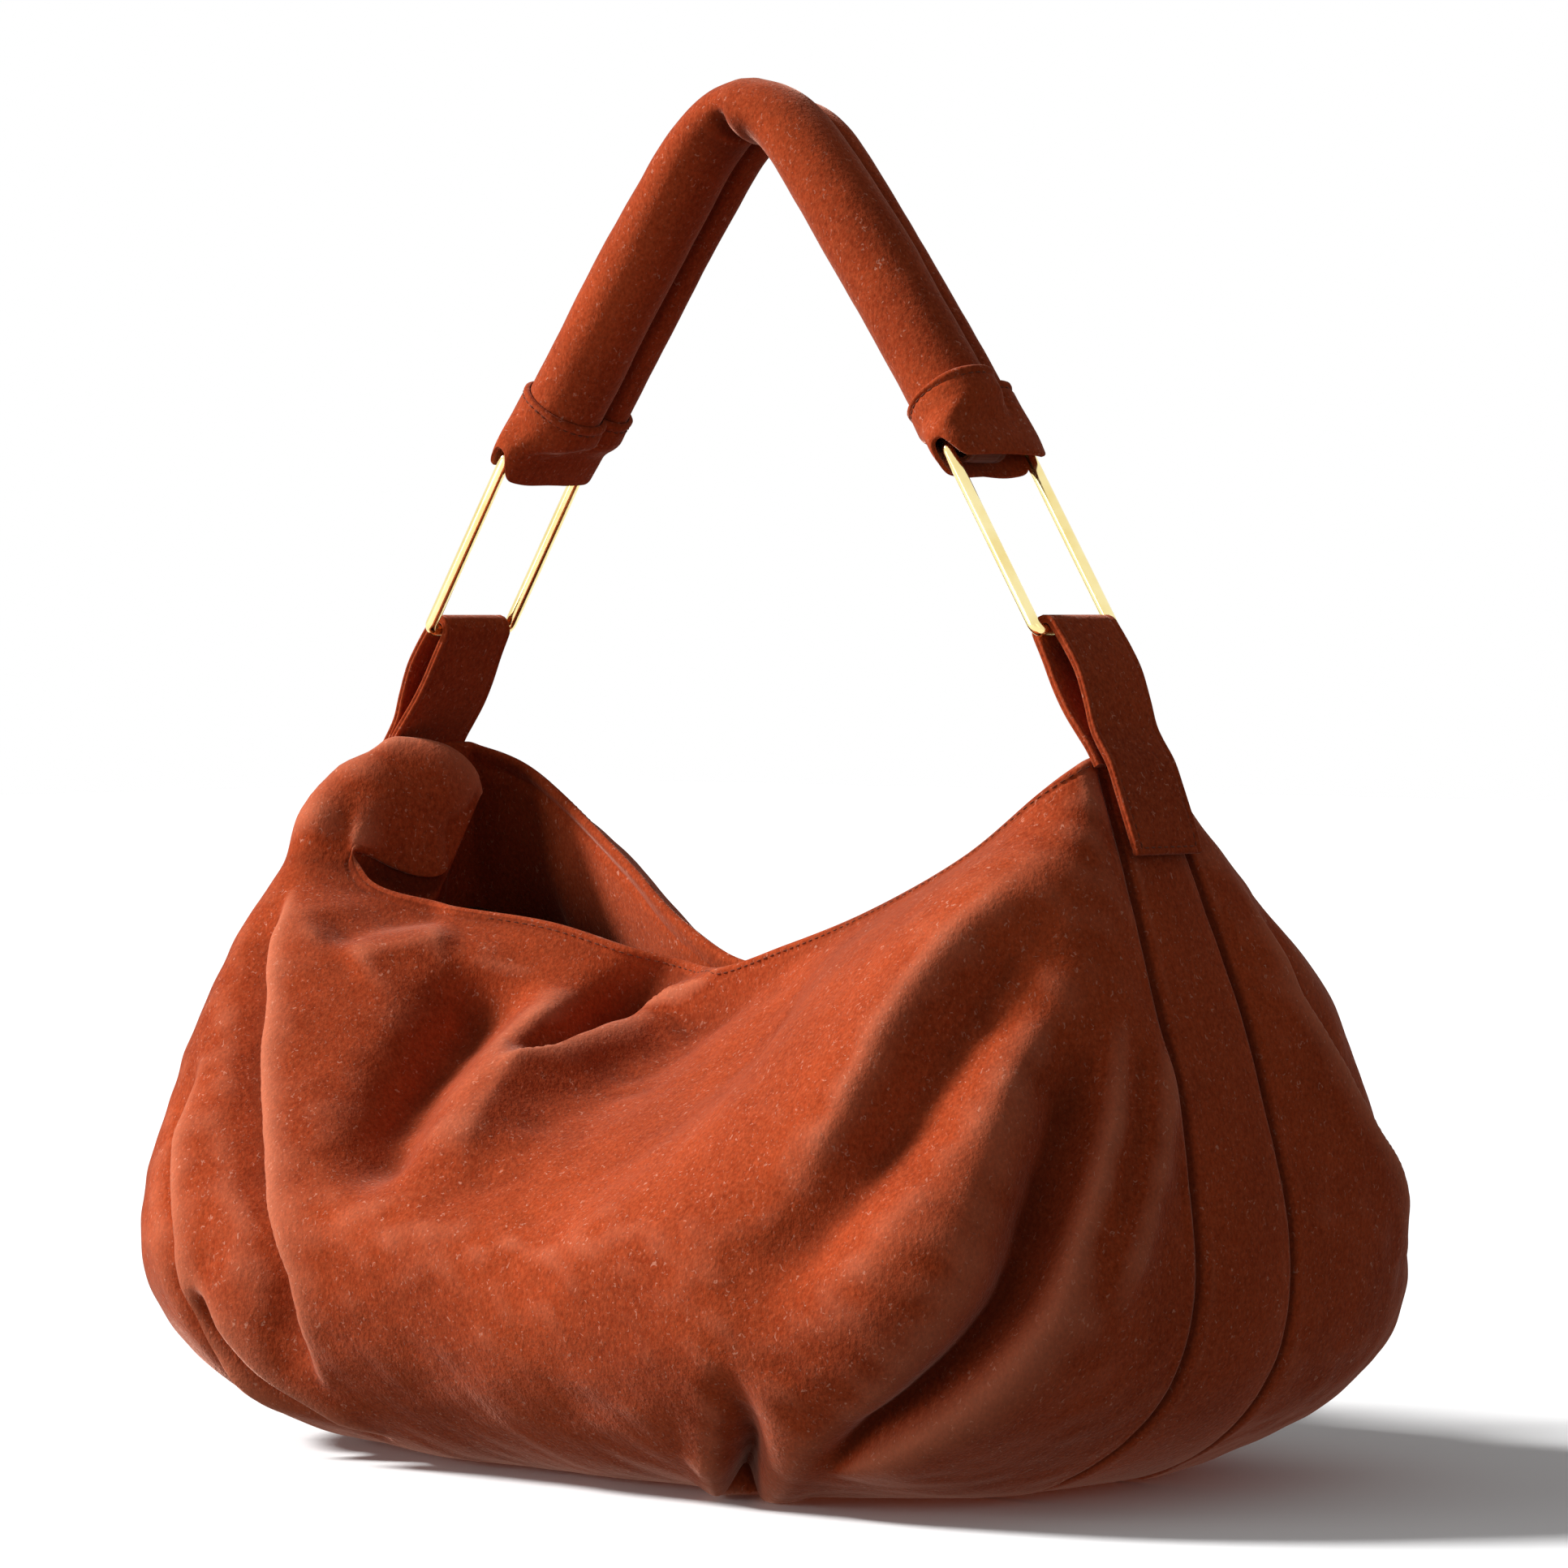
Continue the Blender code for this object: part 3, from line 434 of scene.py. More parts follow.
def draped(side):
    """The half body with its folds, seam grooves and small unevenness, its normals and column shares."""
    grid, shares = half_body(side)
    normals = grid_normals(grid, side)
    for _ in range(NORMAL_PASSES):
        normals[1:-1] = (normals[:-2] + 2 * normals[1:-1] + normals[2:]) / 4
        normals[:, 1:-1] = (normals[:, :-2] + 2 * normals[:, 1:-1] + normals[:, 2:]) / 4
    normals = unit(normals)
    folds = FRONT_FOLDS if side == FRONT else BACK_FOLDS
    moved = sum(fold.shift(grid, normals, shares) for fold in folds)
    sink = SEAM_SINK * near_seams(grid, 1.4 * MM) * smooth(ROW_SHARES / 0.03)[:, None]
    uneven = 0.55 * MM * waves(grid, 0.045, 3) + 0.18 * MM * waves(grid, 0.012, 4)
    calm = smooth((ROW_SHARES - 0.01) / 0.08)[:, None] * smooth((1 - ROW_SHARES) / 0.08)[:, None]
    calm = calm * np.where(np.abs(shares) > 0.985, 0.3, 1.0)
    grid = grid + moved + normals * (uneven * calm - sink)[..., None]
    grid[..., 2] = np.maximum(grid[..., 2], 0.0)
    grid[:, [0, -1], 1] = 0.0
    return grid, normals, grid_normals(grid, side), shares


def bend_along(points, normals, axis, step):
    """How convex the surface is along one axis of its grid, over this many steps each way. Its ends get 0."""
    before, after = np.roll(points, step, axis=axis), np.roll(points, -step, axis=axis)
    span = np.linalg.norm(after - before, axis=2) / 2
    bend_shading = ((points - 0.5 * (before + after)) * normals).sum(2) / np.maximum(span, 1e-6) ** 2
    ends = np.moveaxis(bend_shading, axis, 0)
    ends[:step], ends[-step:] = 0, 0
    return bend_shading


def curvature(grid, normals):
    """How convex the surface is, from -1 in a hollow to 1 on a crest."""
    total = sum(bend_along(grid, normals, axis, step) for axis in (0, 1) for step in (4, 8))
    return np.tanh(total / 160.0)


# ---------------- materials


def new_material(name):
    material = bpy.data.materials.new(name)
    material.use_nodes = True
    tree = material.node_tree
    return material, tree, tree.nodes["Principled BSDF"]


def fill(tree, made, inputs):
    """Sets a node's inputs, each to a value or from another node's output."""
    for key, value in inputs.items():
        if isinstance(value, bpy.types.NodeSocket):
            tree.links.new(value, made.inputs[key])
        else:
            made.inputs[key].default_value = value


def node(tree, kind, inputs=(), output=0, **settings):
    """A new node's output."""
    made = tree.nodes.new(kind)
    for key, value in settings.items():
        setattr(made, key, value)
    fill(tree, made, dict(inputs))
    return made.outputs[output]


def noise(tree, vector, scale, detail=3.0, roughness=0.55, distortion=0.0):
    inputs = {"Vector": vector, "Scale": scale, "Detail": detail}
    inputs |= {"Roughness": roughness, "Distortion": distortion}
    return node(tree, "ShaderNodeTexNoise", inputs, "Fac")


def between(tree, value, low, high, to_low=0.0, to_high=1.0):
    inputs = {"Value": value, "From Min": low, "From Max": high, "To Min": to_low, "To Max": to_high}
    return node(tree, "ShaderNodeMapRange", inputs, "Result", clamp=True)


def mixed(tree, factor, a, b, blend="MIX"):
    a, b = ((*colour, 1) if isinstance(colour, tuple) else colour for colour in (a, b))
    return node(tree, "ShaderNodeMix", {0: factor, 6: a, 7: b}, 2, data_type="RGBA", blend_type=blend)


def bumps(tree, height, strength, distance, **more):
    inputs = {"Height": height, "Strength": strength, "Distance": distance, **more}
    return node(tree, "ShaderNodeBump", inputs)


def suede(name, dark, middle, light):
    """Napped suede: brushed patches, a fine mottled grain, pale flecks, a painted highlight (partly rubbed
    nap) on the crests and painted shade in the hollows.
    """
    material, tree, shader = new_material(name)
    place = node(tree, "ShaderNodeTexCoord", output="Object")
    turn = {"Vector": place, "Rotation": (0.3, 0.5, 0.6), "Scale": (1.0, 1.0, 0.8)}
    turned = node(tree, "ShaderNodeMapping", turn)
    patches = between(tree, noise(tree, place, 22.0), 0.35, 0.68)
    mottle = between(tree, noise(tree, turned, 640.0, 3.0, 0.6), 0.34, 0.68)
    fine = noise(tree, turned, 1100.0, 2.0, 0.6)
    colour = mixed(tree, patches, dark, middle)
    colour = mixed(tree, between(tree, mottle, 0.0, 1.0, 0.0, 0.5), colour, light)
    shade = between(tree, fine, 0.3, 0.7, 0.72, 1.12)
    grey = node(tree, "ShaderNodeCombineColor", {0: shade, 1: shade, 2: shade})
    colour = mixed(tree, 1.0, colour, grey, "MULTIPLY")
    fleck = between(tree, noise(tree, turned, 760.0, 1.0, 0.5, 1.2), 0.66, 0.76, 0.0, 0.55)
    colour = mixed(tree, fleck, colour, FLECK)
    # The bend value is convexity with extra lows in seams, pit and groove; the suede paints highlight where
    # it is high and shade where it is low
    bend_shading = node(tree, "ShaderNodeAttribute", output="Fac", attribute_name="bend_shading")
    # Painted highlight along the crests, standing in for the nap's sheen, with some rubbed nap
    colour = mixed(tree, between(tree, bend_shading, 0.15, 0.95, 0.0, 0.38), colour, CREST_HIGHLIGHT_AND_WEAR)
    # Painted shade in the hollows, along the seam lines, in the mouth's pit and in the handle's groove
    colour = mixed(tree, between(tree, bend_shading, -0.1, -0.9, 0.0, 0.6), colour, HOLLOW_SHADE)
    fill(tree, shader, {"Base Color": colour, "Roughness": 0.95, "Specular IOR Level": 0.03})
    fill(tree, shader, {"Sheen Weight": 0.55, "Sheen Roughness": 0.32, "Sheen Tint": (1.0, 0.55, 0.42, 1.0)})
    low = bumps(tree, mottle, 0.22, 0.0005)
    fill(tree, shader, {"Normal": bumps(tree, fine, 0.3, 0.0003, Normal=low)})
    return material


def polished_brass(name):
    material, tree, shader = new_material(name)
    place = node(tree, "ShaderNodeTexCoord", output="Object")
    tarnish = between(tree, noise(tree, place, 90.0), 0.35, 0.7)
    colour = mixed(tree, tarnish, (0.95, 0.82, 0.42), (0.88, 0.70, 0.28))
    drawn = node(tree, "ShaderNodeMapping", {"Vector": place, "Scale": (60.0, 60.0, 4.0)})
    scratch = noise(tree, drawn, 40.0, 2.0)
    fill(tree, shader, {"Base Color": colour, "Metallic": 1.0})
    fill(tree, shader, {"Roughness": between(tree, scratch, 0.3, 0.7, 0.08, 0.2)})
    fill(tree, shader, {"Normal": bumps(tree, scratch, 0.04, 0.0002)})
    return material


def woven(name, colour, pitch):
    """A plain weave: two sets of fine ribs and a soft colour variation."""
    material, tree, shader = new_material(name)
    place = node(tree, "ShaderNodeTexCoord", output="Object")
    ribs = {"Vector": place, "Scale": pitch, "Distortion": 0.6, "Detail": 1.0}
    warp, weft = (
        node(tree, "ShaderNodeTexWave", ribs, "Fac", wave_type="BANDS", bands_direction=way)
        for way in ("X", "Z")
    )
    weave = node(tree, "ShaderNodeMath", {0: warp, 1: weft}, operation="MULTIPLY")
    darker, lighter, gap = (tuple(c * share for c in colour) for share in (0.75, 1.2, 0.35))
    tone = mixed(tree, between(tree, noise(tree, place, 60.0), 0.3, 0.7), darker, lighter)
    tone = mixed(tree, between(tree, weave, 0.0, 1.0, 0.35, 0.0), tone, gap)
    fill(tree, shader, {"Base Color": tone, "Roughness": 0.85, "Specular IOR Level": 0.1})
    fill(tree, shader, {"Sheen Weight": 0.1, "Normal": bumps(tree, weave, 0.5, 0.0004)})
    return material


# Pale fibre flecks; a painted crest highlight that is partly rubbed nap; a painted shade colour for hollows
# and seams
FLECK, CREST_HIGHLIGHT_AND_WEAR, HOLLOW_SHADE = (0.62, 0.28, 0.19), (0.78, 0.27, 0.15), (0.045, 0.008, 0.004)
SUEDE = suede("rust_suede", (0.26, 0.032, 0.008), (0.38, 0.052, 0.013), (0.46, 0.085, 0.028))
BRASS = polished_brass("polished_brass")
LINING = woven("lining_cloth", (0.16, 0.055, 0.030), 320.0)
WEBBING = woven("loop_webbing", (0.17, 0.045, 0.022), 210.0)
BOARD = woven("base_board_fibre", (0.10, 0.08, 0.06), 150.0)
THREAD = woven("sewing_thread", (0.21, 0.045, 0.016), 900.0)
SLOTS = {SUEDE: "rust_suede", THREAD: "rust_suede", BRASS: "polished_brass"}
SLOTS |= {LINING: "lining_cloth", WEBBING: "webbing"}


# ---------------- meshes


def finish_mesh(name, build, material, body, smooth_angle):
    bmesh.ops.recalc_face_normals(build, faces=build.faces)
    mesh = bpy.data.meshes.new(name)
    build.to_mesh(mesh)
    build.free()
    mesh.shade_smooth()
    mesh.set_sharp_from_angle(angle=math.radians(smooth_angle))
    mesh.materials.append(material)
    piece = bpy.data.objects.new(name, mesh)
    bpy.context.scene.collection.objects.link(piece)
    if body:
        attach(piece, body)
    return piece


def every(count, step):
    """Every so many of these numbers, and always the last one."""
    return [*range(0, count - 1, step), count - 1]


def shell(name, outer, inner, material, bend_shading=None, coarse=COARSE):
    """A closed sheet between two grids of points. The inner one is hidden and this many times coarser."""
    build = bmesh.new()
    layer = build.verts.layers.float.new("bend_shading")
    sides = []
    for grid, step in ((outer, 1), (inner, coarse)):
        r, c = every(grid.shape[0], step), every(grid.shape[1], step)
        verts = {(i, j): build.verts.new(grid[i, j]) for i in r for j in c}
        if bend_shading is not None:
            for place, vert in verts.items():
                vert[layer] = float(bend_shading[place])
        for a, b in zip(r, r[1:]):
            for d, e in zip(c, c[1:]):
                build.faces.new((verts[a, d], verts[b, d], verts[b, e], verts[a, e]))
        border = [(r[0], j) for j in c] + [(i, c[-1]) for i in r[1:]]
        border += [(r[-1], j) for j in c[-2::-1]] + [(i, c[0]) for i in r[-2:0:-1]]
        sides.append((verts, border))
    (many, many_loop), (few, few_loop) = sides
    starts = [many_loop.index(place) for place in few_loop] + [len(many_loop)]
    for k, place in enumerate(few_loop):
        after = few_loop[(k + 1) % len(few_loop)]
        numbers = range(starts[k], starts[k + 1] + 1)
        stretch = [many[many_loop[n % len(many_loop)]] for n in numbers]
        build.faces.new((*stretch, few[after], few[place]))
    return finish_mesh(name, build, material, "bag", 50.0)


def join_rings(build, rings, closed):
    """Faces through rings of vertices: the last is joined to the first, or both are capped."""
    pairs = list(zip(rings, rings[1:]))
    if closed:
        pairs.append((rings[-1], rings[0]))
    else:
        build.faces.new(rings[0])
        build.faces.new(rings[-1])
    for a, b in pairs:
        for k in range(len(a)):
            n = (k + 1) % len(a)
            build.faces.new((a[k], a[n], b[n], b[k]))


def tube(name, rings, material, body, closed=False, bend_shading=None, smooth_angle=60.0):
    build = bmesh.new()
    layer = build.verts.layers.float.new("bend_shading")
    made = [[build.verts.new(p) for p in ring] for ring in rings]
    if bend_shading is not None:
        for line, values in zip(made, bend_shading):
            for vert, value in zip(line, values):
                vert[layer] = float(value)
    join_rings(build, made, closed)
    return finish_mesh(name, build, material, body, smooth_angle)


def stitches(name, path, outward, body="bag", pitch=2.8 * MM, length=1.9 * MM, radius=0.2 * MM):
    """A row of thread stitches along a path, each half sunk into the surface."""
    path, outward = np.asarray(path, float), np.asarray(outward, float)
    run = run_of(path)
    build = bmesh.new()
    start = 0.0
    while start + length < run[-1]:
        first, last = (points_at(s, run, path) for s in (start, start + length))
        size = np.linalg.norm(last - first)
        way = (last - first) / size
        out = points_at(start + length / 2, run, outward)
        out = unit(out - way * (out @ way))
        side = np.cross(way, out)
        rings = []
        for t, fat in ((0.0, 0.15), (0.15, 0.8), (0.5, 1.0), (0.85, 0.8), (1.0, 0.15)):
            centre = first + way * size * t + out * radius * (0.55 * math.sin(math.pi * t) - 0.1)
            around = [side * math.cos(a) + out * math.sin(a) for a in np.arange(6) * math.pi / 3]
            rings.append([build.verts.new(centre + spoke * radius * fat) for spoke in around])
        join_rings(build, rings, False)
        start += pitch
    return finish_mesh(name, build, THREAD, body, 50.0)


# ---------------- body pieces

LINING_SHARE = 0.27  # how far down the facings meet the lining
PLY, LINING_PLY = 1.7 * MM, 0.8 * MM
SEAM_GAP = 0.05 * MM  # between the two halves at an end's middle
BOARD_TOP = 4.8 * MM


def fallen(grid):
    """How far down each line of points each point is."""
    steps = np.linalg.norm(np.diff(grid, axis=0), axis=2)
    return np.concatenate([np.zeros((1, grid.shape[1])), np.cumsum(steps, axis=0)])


def rim_layers(side, grid, shares):
    """Depths of the panel's outside and inside and the facing's two sides, over the half body."""
    down = fallen(grid)
    hemmed = 1 - rolled(side, shares)
    inset = np.clip(PLY - down, 0.0, PLY)
    rounding = (PLY - np.sqrt(np.maximum(PLY**2 - inset**2, 0.0))) * hemmed
    thick = 1 - smooth((down - PLY) / (6 * PLY))
    groove = 0.35 * MM * bell(down - 3.0 * MM, 0.6 * MM) * hemmed
    seam = 2.0 * MM + (PLY - 2.0 * MM) * thick
    inside = FACING_DEPTH + (2 * PLY - FACING_DEPTH) * thick
    return rounding + groove, seam, seam + 0.05 * MM, inside - rounding * 0.98


def hung(side, grid, shares, points, back_off):
    """The facing and lining, which hang from the rim."""
    down = fallen(grid)
    hanging = (1 - smooth((ROW_SHARES - 0.1) / 0.5))[:, None] * (0.85 if side == BACK else 0.7)
    ends = smooth((shares - 0.80) / 0.2) + smooth((-shares - 0.80) / 0.2) * (side == BACK)
    hanging = hanging * smooth(down / (10 * MM)) * (1 - 0.5 * ends)
    straight = points[:1] + np.stack([0 * down, side * (0.06 * down - back_off), -0.96 * down], axis=2)
    return points + (straight - points) * hanging[..., None]


def rim_line(outer, normals, distance):
    """Where a line at this distance below the rim runs over the panel, and the way out there."""
    down = fallen(outer)
    columns = range(outer.shape[1])
    return (
        np.array([points_at(distance, down[:, j], grid[:, j]) for j in columns]) for grid in (outer, normals)
    )


def facing_piece(side, word, grid, shares, layer, facing_out, facing_in, rows):
    layers = [
        hung(side, grid, shares, layer(depth), back_off)[: rows + 1]
        for depth, back_off in ((facing_in, 0.0), (facing_out, 1.0 * MM))
    ]
    end_seam = bell(grid[..., 1], 0.9 * MM) * (np.abs(shares) > 0.99)
    pit = bell(shares + 0.72, 0.06) * bell(fallen(grid) - 9 * MM, 7 * MM) * (side == FRONT)
    layers[0][..., 2] -= (end_seam * 1.2 * MM)[: rows + 1]
    # Painted shade: the facing is darkened in the pit at the mouth's left end and along its end seam
    bend_shading = (0.15 - 1.3 * end_seam - 1.4 * pit)[: rows + 1]
    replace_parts(shell(word + "_facing_suede", *layers, SUEDE, bend_shading), word + "_facing")


def lining_piece(side, word, grid, normals, shares, layer, rows):
    """Cloth from the facing's lower edge down, clear of the folds, and closed over the base board."""
    plain_body = half_body(side)[0]
    clear = smooth((ROW_SHARES - 0.24) / 0.14)[:, None, None]
    cloth = []
    for extra in (LINING_PLY, 0.0):
        floor = BOARD_TOP + LINING_PLY - extra
        cells = layer(np.full(grid.shape[:2], FACING_DEPTH - 0.2 * MM + extra), floor)
        cells = cells + (plain_body - normals * (20 * MM + extra) - cells) * clear
        cells = hung(side, grid, shares, cells, 1.0 * MM - extra)
        cells = np.maximum(cells, [-1, -1, floor])[rows - 2 :: 2, ::2]
        middle = cells[-1] * [0.9, 0.0, 1.0] + [0.0, 2 * side * SEAM_GAP, 0.0]
        cloth.append(np.concatenate([cells, middle[None]]))
    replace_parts(shell(word + "_lining_cloth", *cloth, LINING, coarse=1), word + "_lining")


def body_pieces():
    own = slice(GUSSET_COLUMNS, -GUSSET_COLUMNS)
    rows = int(np.searchsorted(ROW_SHARES, LINING_SHARE))
    for side, word in ((FRONT, "front"), (BACK, "back")):
        grid, normals, true_normals, shares = draped(side)
        # The bend value here sets the painted highlight on crests and the painted shade in hollows
        bend_shading = curvature(grid, true_normals)
        # The seam lines are lowered too, so they get the painted shade colour
        bend_shading = bend_shading - 1.3 * near_seams(grid, 1.6 * MM) * (ROW_SHARES > 0.03)[:, None]
        outside, seam, facing_out, facing_in = rim_layers(side, grid, shares)

        def layer(depth, floor=0.0):
            points = grid - normals * depth[..., None]
            points[..., 2] = np.maximum(points[..., 2], floor)
            points[:, [0, -1], 1] = side * SEAM_GAP
            return points

        outer, inner = layer(outside), layer(seam)
        panel = shell(word + "_panel_suede", outer[:, own], inner[:, own], SUEDE, bend_shading[:, own])
        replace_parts(panel, word + "_panel")
        for sign, part in ((LEFT, slice(0, GUSSET_COLUMNS + 1)), (RIGHT, slice(-GUSSET_COLUMNS - 1, None))):
            gusset_halves[sign].append((outer[:, part], inner[:, part], bend_shading[:, part]))
        facing_piece(side, word, grid, shares, layer, facing_out, facing_in, rows)
        lining_piece(side, word, grid, normals, shares, layer, rows)
        path, out = rim_line(outer, true_normals, 3.0 * MM)
        keep = shares[own] > -0.36 if side == FRONT else np.abs(shares[own]) < 0.97
        stitches(word + "_rim_stitches", path[own][keep], out[own][keep])


gusset_halves = {LEFT: [], RIGHT: []}
body_pieces()
for sign, word in SIDES:
    outer, inner, bend_shading = (
        np.concatenate([front[:, :0:-1], back] if sign == LEFT else [front[:, :-1], back[:, ::-1]], axis=1)
        for front, back in zip(*gusset_halves[sign])
    )
    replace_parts(shell(word + "_gusset_suede", outer, inner, SUEDE, bend_shading), word + "_gusset")


def base_panel():
    """The oval the bag stands on, crowned a little and rounded at its edge."""
    oval = squared_oval(120, np.array([BASE_HALF_LENGTH, BASE_HALF_DEPTH]) - 1.2 * MM, 2 / BASE_POWER)
    section = ((0.02, 0.0), (0.5, 0.0), (0.97, 0.0), (1.0, 0.6))
    section += ((0.995, 1.3), (0.97, 1.6), (0.5, 1.6), (0.02, 1.6))
    rings = [[(x, y, height * MM) for x, y in oval * share] for share, height in section]
    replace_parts(tube("base_panel_suede", rings, SUEDE, "bag"), "base_panel")


base_panel()


# ---------------- straps and rings

RING_LEAN = math.radians(33.0)
RING_LENGTH, RING_WIDTH, RING_CORNER, WIRE = 0.064, 0.034, 0.0029, 0.0019
LOWER_BAR = np.array([0.1245, 0.246])
UPPER_BAR = LOWER_BAR + RING_LENGTH * np.array([-math.sin(RING_LEAN), math.cos(RING_LEAN)])
STRAP, STRAP_HALF_WIDTH = 0.0024, 0.014
TAB_EYE = 0.0023
TAB_ROOT = np.array([0.1436, 0.2130])
PATCH_LOW_Z, PATCH_TOP_Z = 0.183, 0.2075
SEAM_IN, SEAM_WIDTH = 2.1 * MM, 0.5 * MM  # how far the seam runs from a strap's edge
EDGE_PLACES = np.array([0.0, 0.6, 1.2, 1.7, 2.1, 2.5, 3.2, 4.5]) * MM
START_PLACES = np.array([0, 0.15, 0.35, 0.7, 1.2, 1.7, 2.1, 2.5, 3.2]) * MM


def two_ply(half_width, thickness):
    """A strap's section as (along Y, out of its face): two plies with rounded edges and sewn grooves."""
    quarter = thickness / 4
    end = half_width - quarter
    half = np.append(end - EDGE_PLACES[EDGE_PLACES < end], 0.0)
    face = np.concatenate([-half[:-1], half[::-1]])
    sink = 0.3 * MM * bell(end - np.abs(face) + quarter - SEAM_IN, SEAM_WIDTH)
    section = [(y, thickness / 2 - s) for y, s in zip(face, sink)]
    for middle, angles in ((quarter, (55, 15, -25, -65)), (-quarter, (65, 25, -15, -55))):
        for angle in np.radians(angles):
            section.append((end + quarter * math.cos(angle), middle + quarter * math.sin(angle)))
    return section + [(-y, -n) for y, n in section]


def ribbon(name, path, half_width, thickness, material, body, flare=None):
    """A strap along a path in the X-Z plane, its width along Y. A flared one has a rounded, sewn start."""
    line = spline(path, 12)
    run = run_of(line)
    stops = np.linspace(0.0, run[-1], 110)
    if flare:
        stops = np.unique(np.concatenate([START_PLACES, stops[2:]]))
    points = points_at(stops, run, line)
    rings = []
    for stop, (x, z), (way_x, way_z) in zip(stops, points, unit(np.gradient(points, axis=0))):
        half, widest, squeeze = half_width, math.inf, 1.0
        if flare:
            half += flare(stop / run[-1])
            widest = half - 0.5 * MM * (1 - min(1.0, stop / MM))
            squeeze = math.sqrt(min(1.0, max(0.05, 1 - (1 - min(1.0, stop / (0.7 * MM))) ** 2)))
            squeeze -= 0.2 * bell(stop - SEAM_IN, SEAM_WIDTH)
        section = [(max(-widest, min(y, widest)), n * squeeze) for y, n in two_ply(half, thickness)]
        rings.append([(x + way_z * n, y, z - way_x * n) for y, n in section])
    return tube(name, rings, material, body, smooth_angle=70.0)


def tab_straps():
    """From the stitched end on the gusset up, over the ring's lower bar and down into the bag."""
    up = unit(LOWER_BAR - TAB_ROOT)
    across = np.array([up[1], -up[0]])
    end_line = half_body(FRONT)[0][:, 0]

    def beside(z, proud):
        return [float(np.interp(-z, -end_line[:, 2], -end_line[:, 0])) + proud * MM, z]

    def leg(side, rise):
        return TAB_ROOT + (across * side + up * rise) * MM

    turn = TAB_EYE + STRAP / 2
    outer = [beside(*place) for place in ((PATCH_LOW_Z, 2.0), (0.192, 2.2), (0.201, 2.3), (0.2085, 2.3))]
    outer += [leg(*place) for place in ((1.7, 1), (1.8, 6), (3.4, 13), (4.9, 22), (turn / MM + 1.1, 30))]
    over = [LOWER_BAR + (across * math.cos(a) + up * math.sin(a)) * turn for a in np.linspace(0, math.pi, 9)]
    inner_places = ((-turn / MM, 31), (-3.8, 22), (-3.4, 14), (-2.2, 6), (-1.4, 0.5), (-1.3, -5))
    inner = [leg(*place) for place in inner_places]
    edge = STRAP_HALF_WIDTH - SEAM_IN
    for sign, word in SIDES:
        path = [np.array(p) * [sign, 1] for p in [*outer, *over, *inner]]

        def flare(share):
            return 1.2 * MM * smooth((share - 0.62) / 0.3) + 0.3 * MM * math.sin(9 * share + sign)

        strap = ribbon(word + "_tab_strap", path, STRAP_HALF_WIDTH, STRAP, SUEDE, None, flare)
        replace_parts(strap, word + "_tab_patch", word + "_tab_flex", word + "_tab_loop")
        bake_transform(strap)

        face = sign * np.array([1.0, 0.0, 0.12])
        heights = np.linspace(PATCH_TOP_Z, PATCH_LOW_Z + SEAM_IN, 24)
        column = [(sign * beside(z, 3.2)[0], -edge, z) for z in heights]
        line = np.array(column + [(x, -y, z) for x, y, z in column[::-1]])
        stitches(word + "_patch_stitches", line, np.tile(face, (len(line), 1)))
        x = sign * beside(PATCH_TOP_Z, 3.3)[0]
        bar = np.array([(x, y, PATCH_TOP_Z) for y in np.linspace(-edge, edge, 12)])
        stitches(word + "_tab_cross_stitches", bar, np.tile(face, (len(bar), 1)))


tab_straps()


def rings():
    """Rectangular rings of round wire, leaning in towards the handle."""
    half, low, high = RING_WIDTH / 2 - RING_CORNER, RING_CORNER, RING_LENGTH - RING_CORNER
    route = np.array(
        [
            (y + RING_CORNER * math.cos(angle), z + RING_CORNER * math.sin(angle))
            for corner, (y, z) in enumerate(((half, high), (-half, high), (-half, low), (half, low)))
            for angle in corner * math.pi / 2 + np.arange(10) * math.pi / 18
        ]
    )
    ahead = unit(np.roll(route, -1, axis=0) - np.roll(route, 1, axis=0))
    around = np.arange(24) * math.pi / 12
    for sign, word in SIDES:
        lean = np.array([-sign * math.sin(RING_LEAN), math.cos(RING_LEAN)])
        flat_out = np.array([lean[1], 0.0, -lean[0]])
        wire = []
        for (y, z), (dy, dz) in zip(route, ahead):
            side = np.array([-lean[0] * dy, dz, -lean[1] * dy])
            centre = np.array([sign * LOWER_BAR[0] + lean[0] * z, y, LOWER_BAR[1] + lean[1] * z])
            wire.append([centre + (flat_out * math.cos(a) + side * math.sin(a)) * WIRE for a in around])
        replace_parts(tube(word + "_ring_wire", wire, BRASS, word + "_ring", closed=True), word + "_ring")


rings()


# ---------------- handle

HANDLE_LINE = (
    (0.0000, 0.4015), (0.0100, 0.3985), (0.0200, 0.3905),
    (0.0315, 0.3770), (0.0435, 0.3620), (0.0625, 0.3365),
)
ROLL_CENTRE, ROLL_RADIUS = np.array([0.0, -0.003]), 0.012
LOBE_CENTRE, LOBE_RADIUS = np.array([-0.002, 0.0125]), 0.0075
LOBE_MEETING = 0.007
APEX_FLATTEN, APEX_SPREAD, APEX_REACH = 0.28, 0.10, 0.030
COVER_END = 0.012
CUFF_TOP, CUFF_LOBED, CUFF_FLAT, CUFF_BOTTOM = 0.019, 0.0118, 0.0025, -0.0075
CUFF, CUFF_HALF_THICK, CUFF_HALF_WIDTH = 0.0013, 0.0058, 0.0194
LOOP_EYE, LOOP_STRAP, LOOP_HALF_WIDTH, LOOP_TAIL = 0.0036, 0.0017, 0.0075, 0.018
CUFF_SEAM = 2.9 * MM  # how far below the cuff's top its seam runs
CUFF_SHARES = [0.0, 0.012, 0.03, 0.06, 0.085, 0.105, 0.125, 0.15, *np.linspace(0.19, 0.97, 18), 0.99, 1.0]
OUTLINE = 72
ANGLES = np.arange(OUTLINE) * 2 * math.pi / OUTLINE


